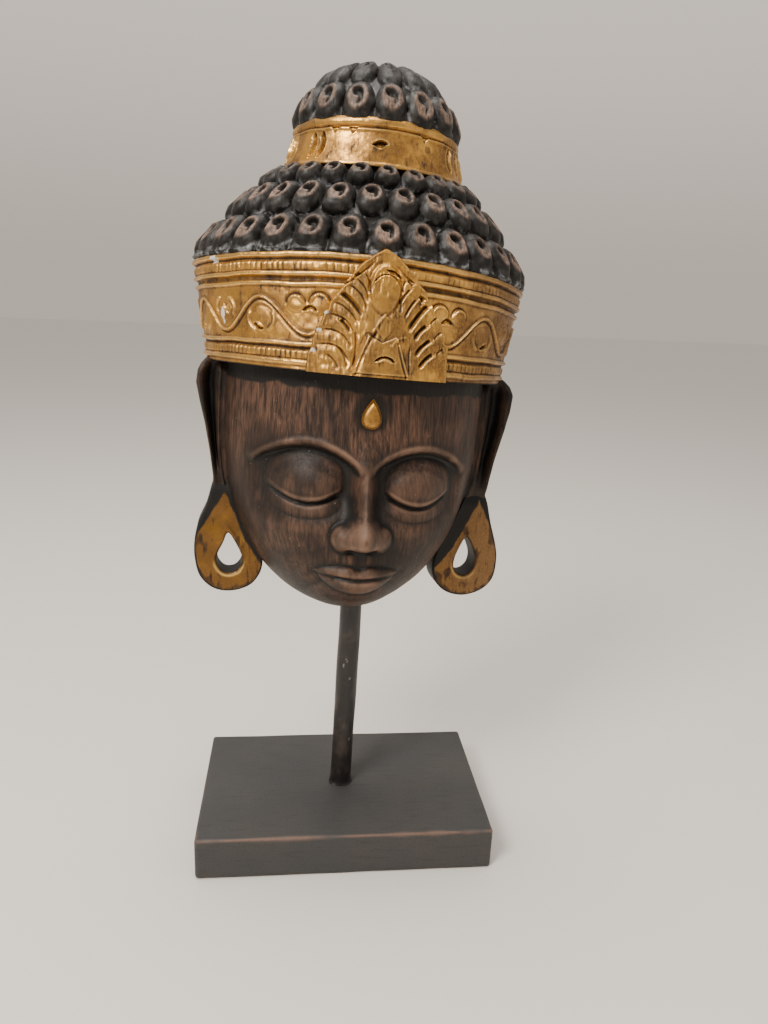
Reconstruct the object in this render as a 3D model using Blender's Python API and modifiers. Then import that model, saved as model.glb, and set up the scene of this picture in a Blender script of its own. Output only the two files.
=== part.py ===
"""A carved and painted wooden mask of a crowned Buddha, on a rod and block stand.

The mask is one carved piece: a head with a flat back, hollowed from behind. Its front is one loft of
half-ellipse sections, zone above zone: face, crown band, hair, topknot band and topknot, each with its
own carving laid on as a relief. The ears are cut from flat outlines and joined to it.

The mask's own frame has its origin at the lower edge of the crown band, in the plane of the flat back:
x to the viewer's right, -y to the front, z up. Angles round a section run from -90 degrees at the
viewer's left edge of the back to +90 degrees at its right edge.
"""
import math

import bmesh
import bpy
import numpy as np
from mathutils import Euler, Matrix, Vector

# Stand
BASE_WIDTH = 0.180
BASE_DEPTH = 0.111
BASE_HEIGHT = 0.027
BASE_EDGE_ROUND = 0.0015
ROD_DIAMETER = 0.0135
ROD_FOOT_X = -0.002
ROD_LEAN = math.radians(1.7)
ROD_SIDES = 32
ROD_END_ROUND = 0.0008
CLEARANCE = 0.0003
SOCKET_DEPTH_BASE = 0.020
SOCKET_DEPTH_MASK = 0.042
CHIN_ABOVE_BASE = 0.1280

# Pose of the mask on the rod
MASK_YAW = math.radians(4.0)
MASK_ROLL = math.radians(3.5)
MASK_NOD = math.radians(-3.8)
SEAT_X = 0.0078
SEAT_Y = -0.0128

# Face: the plan of thirds, with the hairline hidden behind the crown band
FACE_HEIGHT = 0.141
FACE_HALF_WIDTH = 0.077
FACE_DEPTH = 0.076
HAIRLINE = 0.008
WIDEST_BELOW_BAND = 0.025
NOSE_RISE = 0.0175
LID_RISE = 0.0072
SOCKET_SINK = 0.0068
LIP_RISE = 0.0050
CHEEK_RISE = 0.0030
CHIN_RISE = 0.0045
MARK_BELOW_BAND = 0.019
MARK_HEIGHT = 0.0145
MARK_WIDTH = 0.0108
MARK_RISE = 0.0022

# Crown band
BAND_HEIGHT = 0.0523
BAND_FRONT_RISE = 0.0060
BAND_BOTTOM = (0.0860, 0.0844)
BAND_TOP = (0.0951, 0.0750)
MOULDING_RISE = 0.0016
ROPE_RISE = 0.0012
BEAD_RISE = 0.0007
SCROLL_RISE = 0.0022
WAVE_START = math.radians(23.0)
WAVE_PERIOD = math.radians(36.0)
WAVE_SHARE = 0.165
ROSETTE_RISE = 0.0026
ROSETTE_ANGLE = math.radians(8.0)
ROSETTE_SHARE = 0.13
CREST_HALF_WIDTH = 0.0343
CREST_HEIGHT = 0.0614
CREST_RISE = 0.0036
CREST_EDGE = 0.0012
FEATHER_DEPTH = 0.0030
FEATHER_PITCH = 0.0095

# Hair and topknot
HAIR_BOTTOM = (0.0930, 0.0720)
HAIR_TOP = (0.0485, 0.0440)
HAIR_TOP_Z = 0.1042
HAIR_BULGE = 0.0038
CURL_RISE = 0.0060
HAIR_CURLS = ((15, 0.0), (14, 0.0), (13, 0.0))
KNOT_SHIFT = 0.0020
KNOT_BAND_BOTTOM = (0.0518, 0.0480)
KNOT_BAND_TOP = (0.0452, 0.0452)
KNOT_BAND_BOTTOM_Z = 0.1050
KNOT_BAND_TOP_Z = 0.1283
KNOT_BOTTOM = (0.0430, 0.0428)
KNOT_TOP_Z = 0.1608
KNOT_CURL_RISE = 0.0045
KNOT_CURLS = ((8, 0.5), (6, 0.5), (3, 0.0))

# Ears and the hollow behind the face
EAR_BACK_GAP = 0.003
EAR_THICKNESS = 0.017
EAR_TOP_X = 0.0905
EAR_SHIFT = 0.003
LOBE_X = 0.0725
LOBE_Z = -0.104
LOBE_WIDTH = 0.042
LOBE_BOTTOM_Z = -0.1325
LOBE_HOLE_WIDTH = 0.0150
LOBE_HOLE_HEIGHT = 0.0250
EAR_GROOVE_DEPTH = 0.005
WALL = 0.015
BEHIND_BACK = 0.004
HOLLOW_FLOOR = 0.013
HOLLOW_TOP_Z = 0.094
HOLLOW_BOTTOM_Z = -FACE_HEIGHT + SOCKET_DEPTH_MASK + HOLLOW_FLOOR

# Levels and widths that follow from the plan of the face
THIRD = (FACE_HEIGHT + HAIRLINE) / 3
BROW_Z = HAIRLINE - THIRD
NOSE_Z = BROW_Z - THIRD
MOUTH_Z = NOSE_Z - THIRD / 3
EYE_WIDTH = 2 * FACE_HALF_WIDTH / 5
EYE_Z = BROW_Z - 0.42 * THIRD
MOUTH_HALF_WIDTH = 0.76 * EYE_WIDTH

# Grid counts
FACE_COLUMNS = 40
BAND_COLUMNS = 76
HAIR_COLUMNS = 4 * HAIR_CURLS[0][0]
KNOT_COLUMNS = 4 * KNOT_CURLS[0][0]


def spread(columns, evenness):
    """Angles from -90 to +90 degrees, closer together at the front when evenness is below 1."""
    u = np.linspace(-1, 1, columns + 1)
    return (evenness * u + (1 - evenness) * u**3) * math.pi / 2


def smooth(value):
    """A smooth step from 0 to 1 while the value goes from 0 to 1."""
    t = np.clip(value, 0, 1)
    return t * t * (3 - 2 * t)


def dome(dx, dz):
    """A half-sphere of height 1 over the unit circle."""
    return np.sqrt(np.clip(1 - dx**2 - dz**2, 0, None))


def half_section(angle, width, depth, z):
    """Points of half-ellipses: width to each side, depth to the front."""
    x = width * np.sin(angle)
    y = -depth * np.cos(angle)
    return np.stack(np.broadcast_arrays(x, y, z), axis=-1)


def raise_relief(points, relief):
    """Move a grid of points out along its own normals, with its two edges kept in the back plane."""
    along = np.gradient(points, axis=1)
    up = np.gradient(points, axis=0)
    normal = np.cross(along, up)
    normal[:, [0, -1], 1] = 0
    length = np.linalg.norm(normal, axis=-1, keepdims=True)
    return points + normal / np.maximum(length, 1e-12) * relief[..., None]


def face_outline(z):
    """Half-width and depth of the head's egg shape at a height below the crown band."""
    lowest = FACE_HEIGHT - WIDEST_BELOW_BAND
    s = np.clip((-WIDEST_BELOW_BAND - z) / lowest, 0, 1)
    width = FACE_HALF_WIDTH * (1 - s**2.3) ** 0.53
    depth = FACE_DEPTH * (1 - s**5) ** 0.5
    return width, depth


def swell(dx, dz, power):
    """A soft mound of height 1 over the unit circle; the greater the power, the softer its rim."""
    return np.clip(1 - dx**2 - dz**2, 0, None) ** power


def blend(first, second):
    """The greater of two heights, rounded where they meet."""
    return (first**5 + second**5) ** 0.2


def nose(x, z):
    """A straight bridge that grows from the brow to its tip, over a broader base with two wings."""
    t = np.clip((BROW_Z - z) / (BROW_Z - NOSE_Z), 0, 1.15)
    height = (0.16 + 0.80 * t**1.3) * smooth((1.03 - t) / 0.10)
    width = EYE_WIDTH * (0.17 + 0.11 * smooth((t - 0.45) / 0.5))
    root = smooth((BROW_Z + 0.25 * THIRD - z) / (0.36 * THIRD))
    bridge = height * np.exp(-np.abs(x / width) ** 2.3) * root
    base = smooth((t - 0.66) / 0.18) * smooth((1.03 - t) / 0.09)
    wings = 0.50 * base * np.exp(-np.abs(x / (0.46 * EYE_WIDTH)) ** 5)
    return NOSE_RISE * blend(bridge, wings)


def beside_eye(x):
    """Sideways place against the middle of the nearer eye, in eye widths."""
    return (np.abs(x) - EYE_WIDTH) / EYE_WIDTH


def brow_curve(x):
    """The arch of each brow over its own level."""
    return np.maximum(0.006 - 0.014 * beside_eye(x) ** 2, -0.005)


def lid_curve(x):
    """The curve of a lowered lid's edge, lowest in the middle, over its own level."""
    return 0.0055 * np.minimum((beside_eye(x) / 0.56) ** 2, 1.3) - 0.004


def eyes(x, z):
    """Arched brows over sunk sockets, each with a full, lowered lid."""
    side = beside_eye(x)
    over = (BROW_Z + brow_curve(x) - z) / THIRD
    under = (z - EYE_Z) / THIRD
    basin = smooth(over / 0.13) * smooth((under + 0.42) / 0.42) * smooth((1.08 - np.abs(side)) / 0.45)
    lid = swell(side / 0.72, (under - 0.10) / 0.36, 1.2)
    slit = np.exp(-(((z - EYE_Z - lid_curve(x)) / 0.0015) ** 2)) * smooth((0.60 - np.abs(side)) / 0.12)
    return LID_RISE * lid - SOCKET_SINK * basin - 0.0018 * slit


def lip_curve(x):
    """The parting of the lips, turned up a little to the corners."""
    return 0.0016 * np.minimum(np.abs(x) / MOUTH_HALF_WIDTH, 1.2) ** 1.6


def mouth(x, z):
    """Two full lips on a soft mound, with the parting between them and the small hollow above."""
    above = (z - MOUTH_Z - lip_curve(x)) / THIRD
    full = np.clip(1 - (x / MOUTH_HALF_WIDTH) ** 2, 0.001, 1) ** 0.6
    round_lip = np.clip(1 - (x / (0.86 * MOUTH_HALF_WIDTH)) ** 2, 0.001, 1) ** 0.6
    upper = full * np.clip(1 - (above / (0.135 * full)) ** 2, 0, 1) ** 0.75 * (above >= 0)
    lower = round_lip * np.clip(1 - (above / (0.175 * round_lip)) ** 2, 0, 1) ** 0.75 * (above < 0)
    parting = np.exp(-((above / 0.022) ** 2)) * full
    mound = swell(x / (1.05 * EYE_WIDTH), (z - MOUTH_Z) / (0.42 * THIRD), 1.2)
    hollow = np.exp(-((x / 0.004) ** 2) - ((z - NOSE_Z + 0.006) / 0.006) ** 2)
    return LIP_RISE * (upper + lower + 0.55 * mound - 0.3 * parting) - 0.0010 * hollow


def brow_mark(x, z):
    """The drop between the brows: pointed above, round below, in a shallow bed."""
    rise = (z + MARK_BELOW_BAND) / (MARK_HEIGHT / 2)
    width = MARK_WIDTH / 2 * np.clip(1 - rise, 0, 2) ** 0.5 * 0.95
    across = np.clip(1 - np.abs(x) / np.maximum(width, 1e-4), 0, 1) ** 0.5
    inside = np.clip(1 - np.abs(rise), 0, 1) ** 0.4 * across
    bed = np.exp(-((x / MARK_WIDTH) ** 2) - ((z + MARK_BELOW_BAND) / (0.75 * MARK_HEIGHT)) ** 2)
    return MARK_RISE * 1.6 * inside - 0.0012 * bed


def face_relief(x, z):
    """How far the features of the face stand out of the egg shape, to the front."""
    across = (np.abs(x) - 1.2 * EYE_WIDTH) / (1.05 * EYE_WIDTH)
    cheeks = CHEEK_RISE * swell(across, (z - NOSE_Z - 0.20 * THIRD) / (0.80 * THIRD), 1.2)
    chin = CHIN_RISE * swell(x / (0.80 * EYE_WIDTH), (z + FACE_HEIGHT - 0.37 * THIRD) / (0.33 * THIRD), 1)
    return nose(x, z) + eyes(x, z) + mouth(x, z) + brow_mark(x, z) + cheeks + chin


def face_rows():
    """Rows of the face: heights, and how far each bends with the lips, the lids and the brows."""
    low, high = MOUTH_Z - 0.34 * THIRD, BROW_Z + 0.24 * THIRD
    lip_steps = (-0.24, -0.175, -0.11, -0.045, 0, 0.045, 0.10, 0.165)
    chin = [(-FACE_HEIGHT + (low + FACE_HEIGHT) * (i / 6) ** 1.6, 0, 0, 0) for i in range(1, 7)]
    lips = [(MOUTH_Z + step * THIRD, 1, 0, 0) for step in lip_steps]
    wings = [(NOSE_Z + step * THIRD, 0, 0, 0) for step in (-0.08, -0.01, 0.06, 0.15, 0.25)]
    lids = [(EYE_Z + step * THIRD, 0, 1, 0) for step in (-0.07, -0.03, 0, 0.03, 0.07)]
    domes = [(EYE_Z + 0.17 * THIRD, 0, 0.5, 0.1), (EYE_Z + 0.27 * THIRD, 0, 0.1, 0.6)]
    brows = [(BROW_Z + step * THIRD, 0, 0, 1) for step in (-0.09, -0.04, 0.04)]
    forehead = [(high * (1 - i / 4), 0, 0, 0.5 - i / 8) for i in range(5)]
    under_eye = [(NOSE_Z + 0.36 * THIRD, 0, 0, 0), (EYE_Z - 0.165 * THIRD, 0, 0.4, 0)]
    return chin + lips + wings + under_eye + lids + domes + brows + forehead


def face_zone():
    """The face from just above the chin's lowest point to the crown band."""
    angle = spread(FACE_COLUMNS, 0.62)[None, :]
    level, by_lips, by_lids, by_brows = (np.array(column)[:, None] for column in zip(*face_rows()))
    x = face_outline(level)[0] * np.sin(angle)
    z = level + by_lips * lip_curve(x) + by_lids * lid_curve(x) + by_brows * brow_curve(x)
    width, depth = face_outline(z)
    points = half_section(angle, width, depth, z)
    points[..., 1] -= face_relief(points[..., 0], points[..., 2]) * smooth(np.cos(angle) / 0.35)
    points[:, [0, -1], 1] = 0
    return angle[0], points


def crest_width(z):
    """Half-width of the pointed leaf at the front of the crown band, nothing at its tip."""
    shoulder = 0.15 * CREST_HEIGHT
    slope = np.clip((CREST_HEIGHT - z) / (CREST_HEIGHT - shoulder), 0.01, 1)
    return CREST_HALF_WIDTH * slope**0.72


def crest_relief(x, z):
    """The leaf: an upper bud and a lower triangle, with feathers fanned to both sides."""
    bud = dome(x / 0.0105, (z - 0.68 * CREST_HEIGHT) / 0.0135)
    low_width = 0.0150 * np.clip(1 - z / (0.44 * CREST_HEIGHT), 0, 1)
    triangle = smooth((low_width - np.abs(x)) / 0.002)
    fan = (z * math.cos(0.75) - np.abs(x) * math.sin(0.75)) / FEATHER_PITCH
    feathers = np.abs(np.sin(math.pi * fan))
    middle = np.maximum(bud, triangle)
    return CREST_RISE + FEATHER_DEPTH * (feathers - 0.7) * (1 - middle) + 0.0014 * middle


def wave(angle):
    """Height of the running scroll, from -1 to 1, with its low points beside the leaf."""
    return -np.cos(2 * math.pi * (np.abs(angle) - WAVE_START) / WAVE_PERIOD)


def rosettes(angle, share):
    """Round flowers under the crest of the scroll and above its dips."""
    relief = np.zeros(np.broadcast(angle, share).shape)
    for index in range(4):
        middle = WAVE_START + (0.5 + 0.5 * index) * WAVE_PERIOD
        height = 0.43 if index % 2 == 0 else 0.57
        across = (np.abs(angle) - middle) / ROSETTE_ANGLE
        relief = np.maximum(relief, dome(across, (share - height) / ROSETTE_SHARE))
    return relief


def band_rows():
    """Rows of the crown band: height as a share, relief, beading, and how far the scroll bends it."""
    ridge, groove, edge = MOULDING_RISE, -0.0004, 0.0006
    lower = ((0.0, edge, 0), (0.05, ridge, 0), (0.095, groove, 0), (0.15, ROPE_RISE, BEAD_RISE))
    lower += ((0.2, groove, 0), (0.235, ridge, 0), (0.27, 0.0, 0))
    scroll = ((0.333, 0.33), (0.396, 0.66), (0.455, 1.0), (0.5, 1.0))
    scroll += ((0.545, 1.0), (0.604, 0.66), (0.667, 0.33))
    rows = [(*row, 0.0) for row in lower]
    rows += [(share, SCROLL_RISE if share == 0.5 else 0.0, 0, bend) for share, bend in scroll]
    return rows + [(1 - share, relief, bead, 0.0) for share, relief, bead in reversed(lower)]


def band_zone():
    """The crown band: mouldings, a beaded rope above and below, the scroll, and the leaf in front."""
    angle = spread(BAND_COLUMNS, 0.78)[None, :]
    level, moulding, bead, bend = (np.array(column)[:, None] for column in zip(*band_rows()))
    beside_leaf = smooth((np.abs(angle) - 0.85 * WAVE_START) / (0.3 * WAVE_START))
    share = level + WAVE_SHARE * bend * wave(angle) * beside_leaf
    width = BAND_BOTTOM[0] + (BAND_TOP[0] - BAND_BOTTOM[0]) * share
    depth = BAND_BOTTOM[1] + (BAND_TOP[1] - BAND_BOTTOM[1]) * share
    z = share * (BAND_HEIGHT + BAND_FRONT_RISE * np.cos(angle) ** 2)
    turned, leaf = fit_columns_to_leaf(angle, np.arcsin(crest_width(z) / width))
    peak = (CREST_HEIGHT - BAND_HEIGHT - BAND_FRONT_RISE) * np.clip(1 - np.abs(turned) / 0.07, 0, 1)
    z = z + peak * smooth((share - 0.85) / 0.15)
    points = half_section(turned, width, depth, z)
    beads = bead * (-1.0) ** np.arange(BAND_COLUMNS + 1)[None, :]
    flowers = ROSETTE_RISE * rosettes(angle, share) * ((bend > 0) & (bend < 1)) * beside_leaf
    plain = moulding + beads + flowers
    relief = plain * (1 - leaf) + crest_relief(points[..., 0], points[..., 2]) * leaf
    return angle[0], raise_relief(points, relief)


def fit_columns_to_leaf(angle, leaf_angle):
    """Draw the columns together so that one runs up each edge of the leaf, the next just outside it."""
    edge = np.abs(angle[0, BAND_COLUMNS // 2 :])
    last = int(np.searchsorted(edge, leaf_angle[0].max())) - 1
    inner, outer = edge[last], edge[last + 1]
    far = min(2.4 * outer, math.pi / 2)
    size = np.abs(angle)
    step = leaf_angle + CREST_EDGE / BAND_BOTTOM[1]
    beyond = step + (size - outer) * (far - step) / (far - outer)
    turned = np.where(size <= inner, size / inner * leaf_angle, np.where(size < far, beyond, size))
    return turned * np.sign(angle), np.where(size <= inner + 1e-9, 1.0, 0.0)


def curls(angle, height, rows):
    """Rows of round curls: each row has its count and the share of a curl that it is set aside."""
    relief = np.zeros(np.broadcast(angle, height).shape)
    pitch = 1.0 / len(rows)
    for index, (count, aside) in enumerate(rows):
        place = (angle / math.pi + 0.5) * count + aside
        across = 2 * (place - np.floor(place)) - 1
        middle = (index + 0.5) * pitch
        up = (height - middle) / (0.58 * pitch)
        relief = np.maximum(relief, dome(across, up))
    return relief


def hair_zone():
    """The hair between the crown band and the topknot band, covered with curls."""
    angle = spread(HAIR_COLUMNS, 1.0)[None, :]
    height = np.linspace(0, 1, 4 * len(HAIR_CURLS) + 1)[:, None]
    bulge = HAIR_BULGE * 4 * height * (1 - height)
    width = HAIR_BOTTOM[0] + (HAIR_TOP[0] - HAIR_BOTTOM[0]) * height + bulge
    depth = HAIR_BOTTOM[1] + (HAIR_TOP[1] - HAIR_BOTTOM[1]) * height + bulge
    low = BAND_HEIGHT + BAND_FRONT_RISE * np.cos(angle) ** 2 - 0.001
    points = half_section(angle, width, depth, low + (HAIR_TOP_Z - low) * height)
    points[..., 0] += KNOT_SHIFT * height
    return angle[0], raise_relief(points, CURL_RISE * curls(angle, height, HAIR_CURLS))


def knot_band_zone():
    """The topknot band: a ridge along its top edge and pairs of upright cuts round it."""
    angle = spread(KNOT_COLUMNS, 1.0)[None, :]
    height = np.array([0.0, 0.12, 0.45, 0.74, 0.84, 0.93, 1.0])[:, None]
    relief = np.array([0.0, 0.0012, 0.0002, 0.0002, 0.0014, 0.0006, 0.0002])[:, None]
    width = KNOT_BAND_BOTTOM[0] + (KNOT_BAND_TOP[0] - KNOT_BAND_BOTTOM[0]) * height
    depth = KNOT_BAND_BOTTOM[1] + (KNOT_BAND_TOP[1] - KNOT_BAND_BOTTOM[1]) * height
    z = KNOT_BAND_BOTTOM_Z + (KNOT_BAND_TOP_Z - KNOT_BAND_BOTTOM_Z) * height
    petals = 0.0010 * np.cos(8 * angle) * np.sin(math.pi * height)
    points = half_section(angle, width, depth, z)
    points[..., 0] += KNOT_SHIFT
    return angle[0], raise_relief(points, relief + petals)


def knot_zone():
    """The topknot: a dome of curls, up to just below its highest point."""
    angle = spread(KNOT_COLUMNS, 1.0)[None, :]
    height = np.linspace(0, 1, 3 * len(KNOT_CURLS) + 1)[:-1, None]
    rise = np.sin(height * math.pi / 2)
    shrink = (1 - rise**1.9) ** 0.5
    z = KNOT_BAND_TOP_Z - 0.001 + (KNOT_TOP_Z - KNOT_BAND_TOP_Z + 0.001) * rise
    points = half_section(angle, KNOT_BOTTOM[0] * shrink, KNOT_BOTTOM[1] * shrink, z)
    points[..., 0] += KNOT_SHIFT
    return angle[0], raise_relief(points, KNOT_CURL_RISE * curls(angle, height, KNOT_CURLS))


def add_zone(bm, angle, points, slot):
    """Add one zone's grid of points and the faces between its rows; give back its two end rings."""
    rows = [[bm.verts.new(point) for point in row] for row in points]
    for low, high in zip(rows, rows[1:]):
        for i in range(len(angle) - 1):
            bm.faces.new((low[i], low[i + 1], high[i + 1], high[i])).material_index = slot
    return (rows[0], angle), (rows[-1], angle), rows


def join_rings(bm, lower, upper, slot):
    """Close the gap between two rings of unlike counts with triangles, in order of their angles."""
    (low, low_angle), (high, high_angle) = lower, upper
    i = j = 0
    while i < len(low) - 1 or j < len(high) - 1:
        step_low = j == len(high) - 1 or (i < len(low) - 1 and low_angle[i + 1] <= high_angle[j + 1])
        if step_low:
            bm.faces.new((low[i], low[i + 1], high[j])).material_index = slot
            i += 1
        else:
            bm.faces.new((low[i], high[j + 1], high[j])).material_index = slot
            j += 1


def close_pole(bm, ring, point, slot):
    """Close a ring onto one point."""
    pole = bm.verts.new(point)
    verts = ring[0]
    for first, second in zip(verts, verts[1:]):
        bm.faces.new((first, second, pole)).material_index = slot
    return pole


def head_mesh():
    """The carved head as one closed body with a flat back."""
    wood, black, gold = 0, 1, 2
    bm = bmesh.new()
    zones = (
        (face_zone(), wood),
        (band_zone(), gold),
        (hair_zone(), black),
        (knot_band_zone(), gold),
        (knot_zone(), black),
    )
    left, right, previous = [], [], None
    for (angle, points), slot in zones:
        first, last, rows = add_zone(bm, angle, points, slot)
        if previous is None:
            chin = close_pole(bm, first, (0, 0, -FACE_HEIGHT), slot)
        else:
            join_rings(bm, previous, first, slot)
        left += [row[0] for row in rows]
        right += [row[-1] for row in rows]
        previous = last
    top = close_pole(bm, previous, (KNOT_SHIFT, 0, KNOT_TOP_Z), black)
    bm.faces.new([chin] + right + [top] + left[::-1]).material_index = black
    bmesh.ops.recalc_face_normals(bm, faces=bm.faces[:])
    mesh = bpy.data.meshes.new("mask")
    bm.to_mesh(mesh)
    bm.free()
    return mesh


def hollow_mesh():
    """The space scooped out behind the face: the head's own sections, a wall's thickness smaller."""
    bm = bmesh.new()
    angle = spread(14, 1.0)[None, :]
    share = np.linspace(0, 1, 11)[1:-1, None]
    z = HOLLOW_BOTTOM_Z + (HOLLOW_TOP_Z - HOLLOW_BOTTOM_Z) * share
    ends = (1 - np.abs(2 * share - 1) ** 3.0) ** 0.5
    jaw_z = -0.53 * FACE_HEIGHT
    stops = (-FACE_HEIGHT, jaw_z, -WIDEST_BELOW_BAND, 0, BAND_HEIGHT, HAIR_TOP_Z)
    face_low = face_outline(np.array([jaw_z]))
    widths = (0, face_low[0][0], FACE_HALF_WIDTH, FACE_HALF_WIDTH, HAIR_BOTTOM[0], HAIR_TOP[0])
    depths = (0, face_low[1][0], FACE_DEPTH, FACE_DEPTH, HAIR_BOTTOM[1], HAIR_TOP[1])
    width = (np.interp(z, stops, widths) - WALL) * ends
    depth = (np.interp(z, stops, depths) - WALL) * ends
    points = half_section(angle, width, depth + BEHIND_BACK, z)
    points[..., 1] += BEHIND_BACK
    first, last, rows = add_zone(bm, angle[0], points, 0)
    low = close_pole(bm, first, (0, BEHIND_BACK, HOLLOW_BOTTOM_Z), 0)
    high = close_pole(bm, last, (0, BEHIND_BACK, HOLLOW_TOP_Z), 0)
    rim = [low] + [row[-1] for row in rows] + [high] + [row[0] for row in rows][::-1]
    behind = [bm.verts.new(vert.co + Vector((0, BEHIND_BACK, 0))) for vert in rim]
    for i, vert in enumerate(rim):
        after = (i + 1) % len(rim)
        bm.faces.new((vert, rim[after], behind[after], behind[i]))
    bm.faces.new(behind)
    bmesh.ops.recalc_face_normals(bm, faces=bm.faces[:])
    mesh = bpy.data.meshes.new("hollow")
    bm.to_mesh(mesh)
    bm.free()
    return mesh


def flat_outline(name, loops, thickness, resolution):
    """A solid plate, in the xz plane, from smooth closed outlines; inner loops become holes."""
    curve = bpy.data.curves.new(name, "CURVE")
    curve.dimensions = "2D"
    curve.fill_mode = "BOTH"
    curve.extrude = thickness / 2
    curve.resolution_u = resolution
    for loop in loops:
        spline = curve.splines.new("BEZIER")
        spline.bezier_points.add(len(loop) - 1)
        spline.use_cyclic_u = True
        for point, (x, z) in zip(spline.bezier_points, loop):
            point.co = (x, z, 0)
            point.handle_left_type = point.handle_right_type = "AUTO"
    return solid_from_curve(name, curve)


def solid_from_curve(name, curve):
    """Make a curve's evaluated shape a closed mesh object, standing upright."""
    holder = bpy.data.objects.new(name, curve)
    bpy.context.scene.collection.objects.link(holder)
    bpy.context.view_layer.update()
    evaluated = holder.evaluated_get(bpy.context.evaluated_depsgraph_get())
    mesh = bpy.data.meshes.new_from_object(evaluated)
    bpy.data.objects.remove(holder)
    bm = bmesh.new()
    bm.from_mesh(mesh)
    bmesh.ops.remove_doubles(bm, verts=bm.verts[:], dist=0.00001)
    bmesh.ops.rotate(bm, verts=bm.verts[:], matrix=Matrix.Rotation(math.pi / 2, 3, "X"))
    bmesh.ops.recalc_face_normals(bm, faces=bm.faces[:])
    bm.to_mesh(mesh)
    bm.free()
    return bpy.data.objects.new(name, mesh)


def ear_loops(side):
    """Outline of one ear with its long lobe, and the drop-shaped hole through the lobe."""
    neck_x = LOBE_X + 0.0095
    inner_x = FACE_HALF_WIDTH - 0.010
    lobe_left, lobe_right = LOBE_X - LOBE_WIDTH / 2, LOBE_X + LOBE_WIDTH / 2
    outline = (
        (inner_x, 0.000),
        (EAR_TOP_X - 0.0045, 0.0015),
        (EAR_TOP_X + 0.0015, -0.0090),
        (EAR_TOP_X - 0.0025, -0.0280),
        (neck_x + 0.0035, -0.0480),
        (neck_x, -0.0690),
        (lobe_right - 0.0070, -0.0830),
        (lobe_right, LOBE_Z),
        (lobe_right - 0.0055, LOBE_Z - 0.0190),
        (LOBE_X - 0.0010, LOBE_BOTTOM_Z),
        (lobe_left + 0.0020, LOBE_Z - 0.0185),
        (lobe_left + 0.0015, LOBE_Z + 0.0040),
        (inner_x - 0.0060, -0.0600),
    )
    half_width, half_height = LOBE_HOLE_WIDTH / 2, LOBE_HOLE_HEIGHT / 2
    hole = (
        (LOBE_X - 0.0005, LOBE_Z - 0.004 + half_height),
        (LOBE_X + 0.62 * half_width, LOBE_Z - 0.004 + 0.25 * half_height),
        (LOBE_X + half_width, LOBE_Z - 0.004 - 0.42 * half_height),
        (LOBE_X, LOBE_Z - 0.004 - half_height),
        (LOBE_X - half_width, LOBE_Z - 0.004 - 0.42 * half_height),
        (LOBE_X - 0.62 * half_width, LOBE_Z - 0.004 + 0.25 * half_height),
    )
    return [[(side * x + EAR_SHIFT, z) for x, z in loop] for loop in (outline, hole)]


def groove_loop(side):
    """Outline of the hollow inside the ear's rim."""
    points = (
        (EAR_TOP_X - 0.0115, -0.0060),
        (EAR_TOP_X - 0.0045, -0.0115),
        (EAR_TOP_X - 0.0085, -0.0330),
        (LOBE_X + 0.0060, -0.0600),
        (LOBE_X + 0.0035, -0.0480),
        (EAR_TOP_X - 0.0150, -0.0250),
    )
    return [[(side * x + EAR_SHIFT, z) for x, z in points]]


def make_material(name, color, roughness, metallic=0.0):
    """A plain Principled material in the colour of the finish."""
    material = bpy.data.materials.new(name)
    material.use_nodes = True
    shader = material.node_tree.nodes["Principled BSDF"]
    shader.inputs["Base Color"].default_value = (*color, 1.0)
    shader.inputs["Roughness"].default_value = roughness
    shader.inputs["Metallic"].default_value = metallic
    material.diffuse_color = (*color, 1.0)
    return material


def add_boolean(target, other, operation):
    """Cut or join another object, which becomes a hidden helper."""
    modifier = target.modifiers.new(f"{operation} {other.name}".lower(), "BOOLEAN")
    modifier.operation = operation
    modifier.object = other
    modifier.solver = "EXACT"


def place_helper(helper, cutters, parent=None):
    """Keep a cutter or joined helper in the cutters' collection, out of the model itself."""
    cutters.objects.link(helper)
    helper.parent = parent
    helper.hide_render = True
    helper.display_type = "WIRE"


def cylinder(name, radius, length):
    """A round bar standing on the origin."""
    bm = bmesh.new()
    bmesh.ops.create_cone(
        bm, cap_ends=True, segments=ROD_SIDES, radius1=radius, radius2=radius, depth=length
    )
    bmesh.ops.translate(bm, verts=bm.verts[:], vec=(0, 0, length / 2))
    mesh = bpy.data.meshes.new(name)
    bm.to_mesh(mesh)
    bm.free()
    return bpy.data.objects.new(name, mesh)


def block(name, width, depth, height):
    """A rectangular block standing on the origin."""
    bm = bmesh.new()
    bmesh.ops.create_cube(bm, size=1.0)
    bmesh.ops.scale(bm, verts=bm.verts[:], vec=(width, depth, height))
    bmesh.ops.translate(bm, verts=bm.verts[:], vec=(0, 0, height / 2))
    mesh = bpy.data.meshes.new(name)
    bm.to_mesh(mesh)
    bm.free()
    return bpy.data.objects.new(name, mesh)


def rod_direction():
    """The rod leans a little to the viewer's right."""
    return Vector((math.sin(ROD_LEAN), 0, math.cos(ROD_LEAN)))


def rod_point(height):
    """The point of the rod's axis at a height over the floor."""
    direction = rod_direction()
    return Vector((ROD_FOOT_X, 0, 0)) + direction * (height / direction.z)


def mask_matrix():
    """Place of the mask: the seat under its chin lies on the rod's axis."""
    turn = Euler((MASK_NOD, MASK_ROLL, MASK_YAW), "XYZ").to_matrix()
    seat = Vector((SEAT_X, SEAT_Y, -FACE_HEIGHT))
    place = rod_point(BASE_HEIGHT + CHIN_ABOVE_BASE) - turn @ seat
    return Matrix.Translation(place) @ turn.to_4x4()


def along_rod(thing, height):
    """Stand a bar on the rod's axis at a height."""
    thing.rotation_euler = (0, ROD_LEAN, 0)
    thing.location = rod_point(height)


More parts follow.
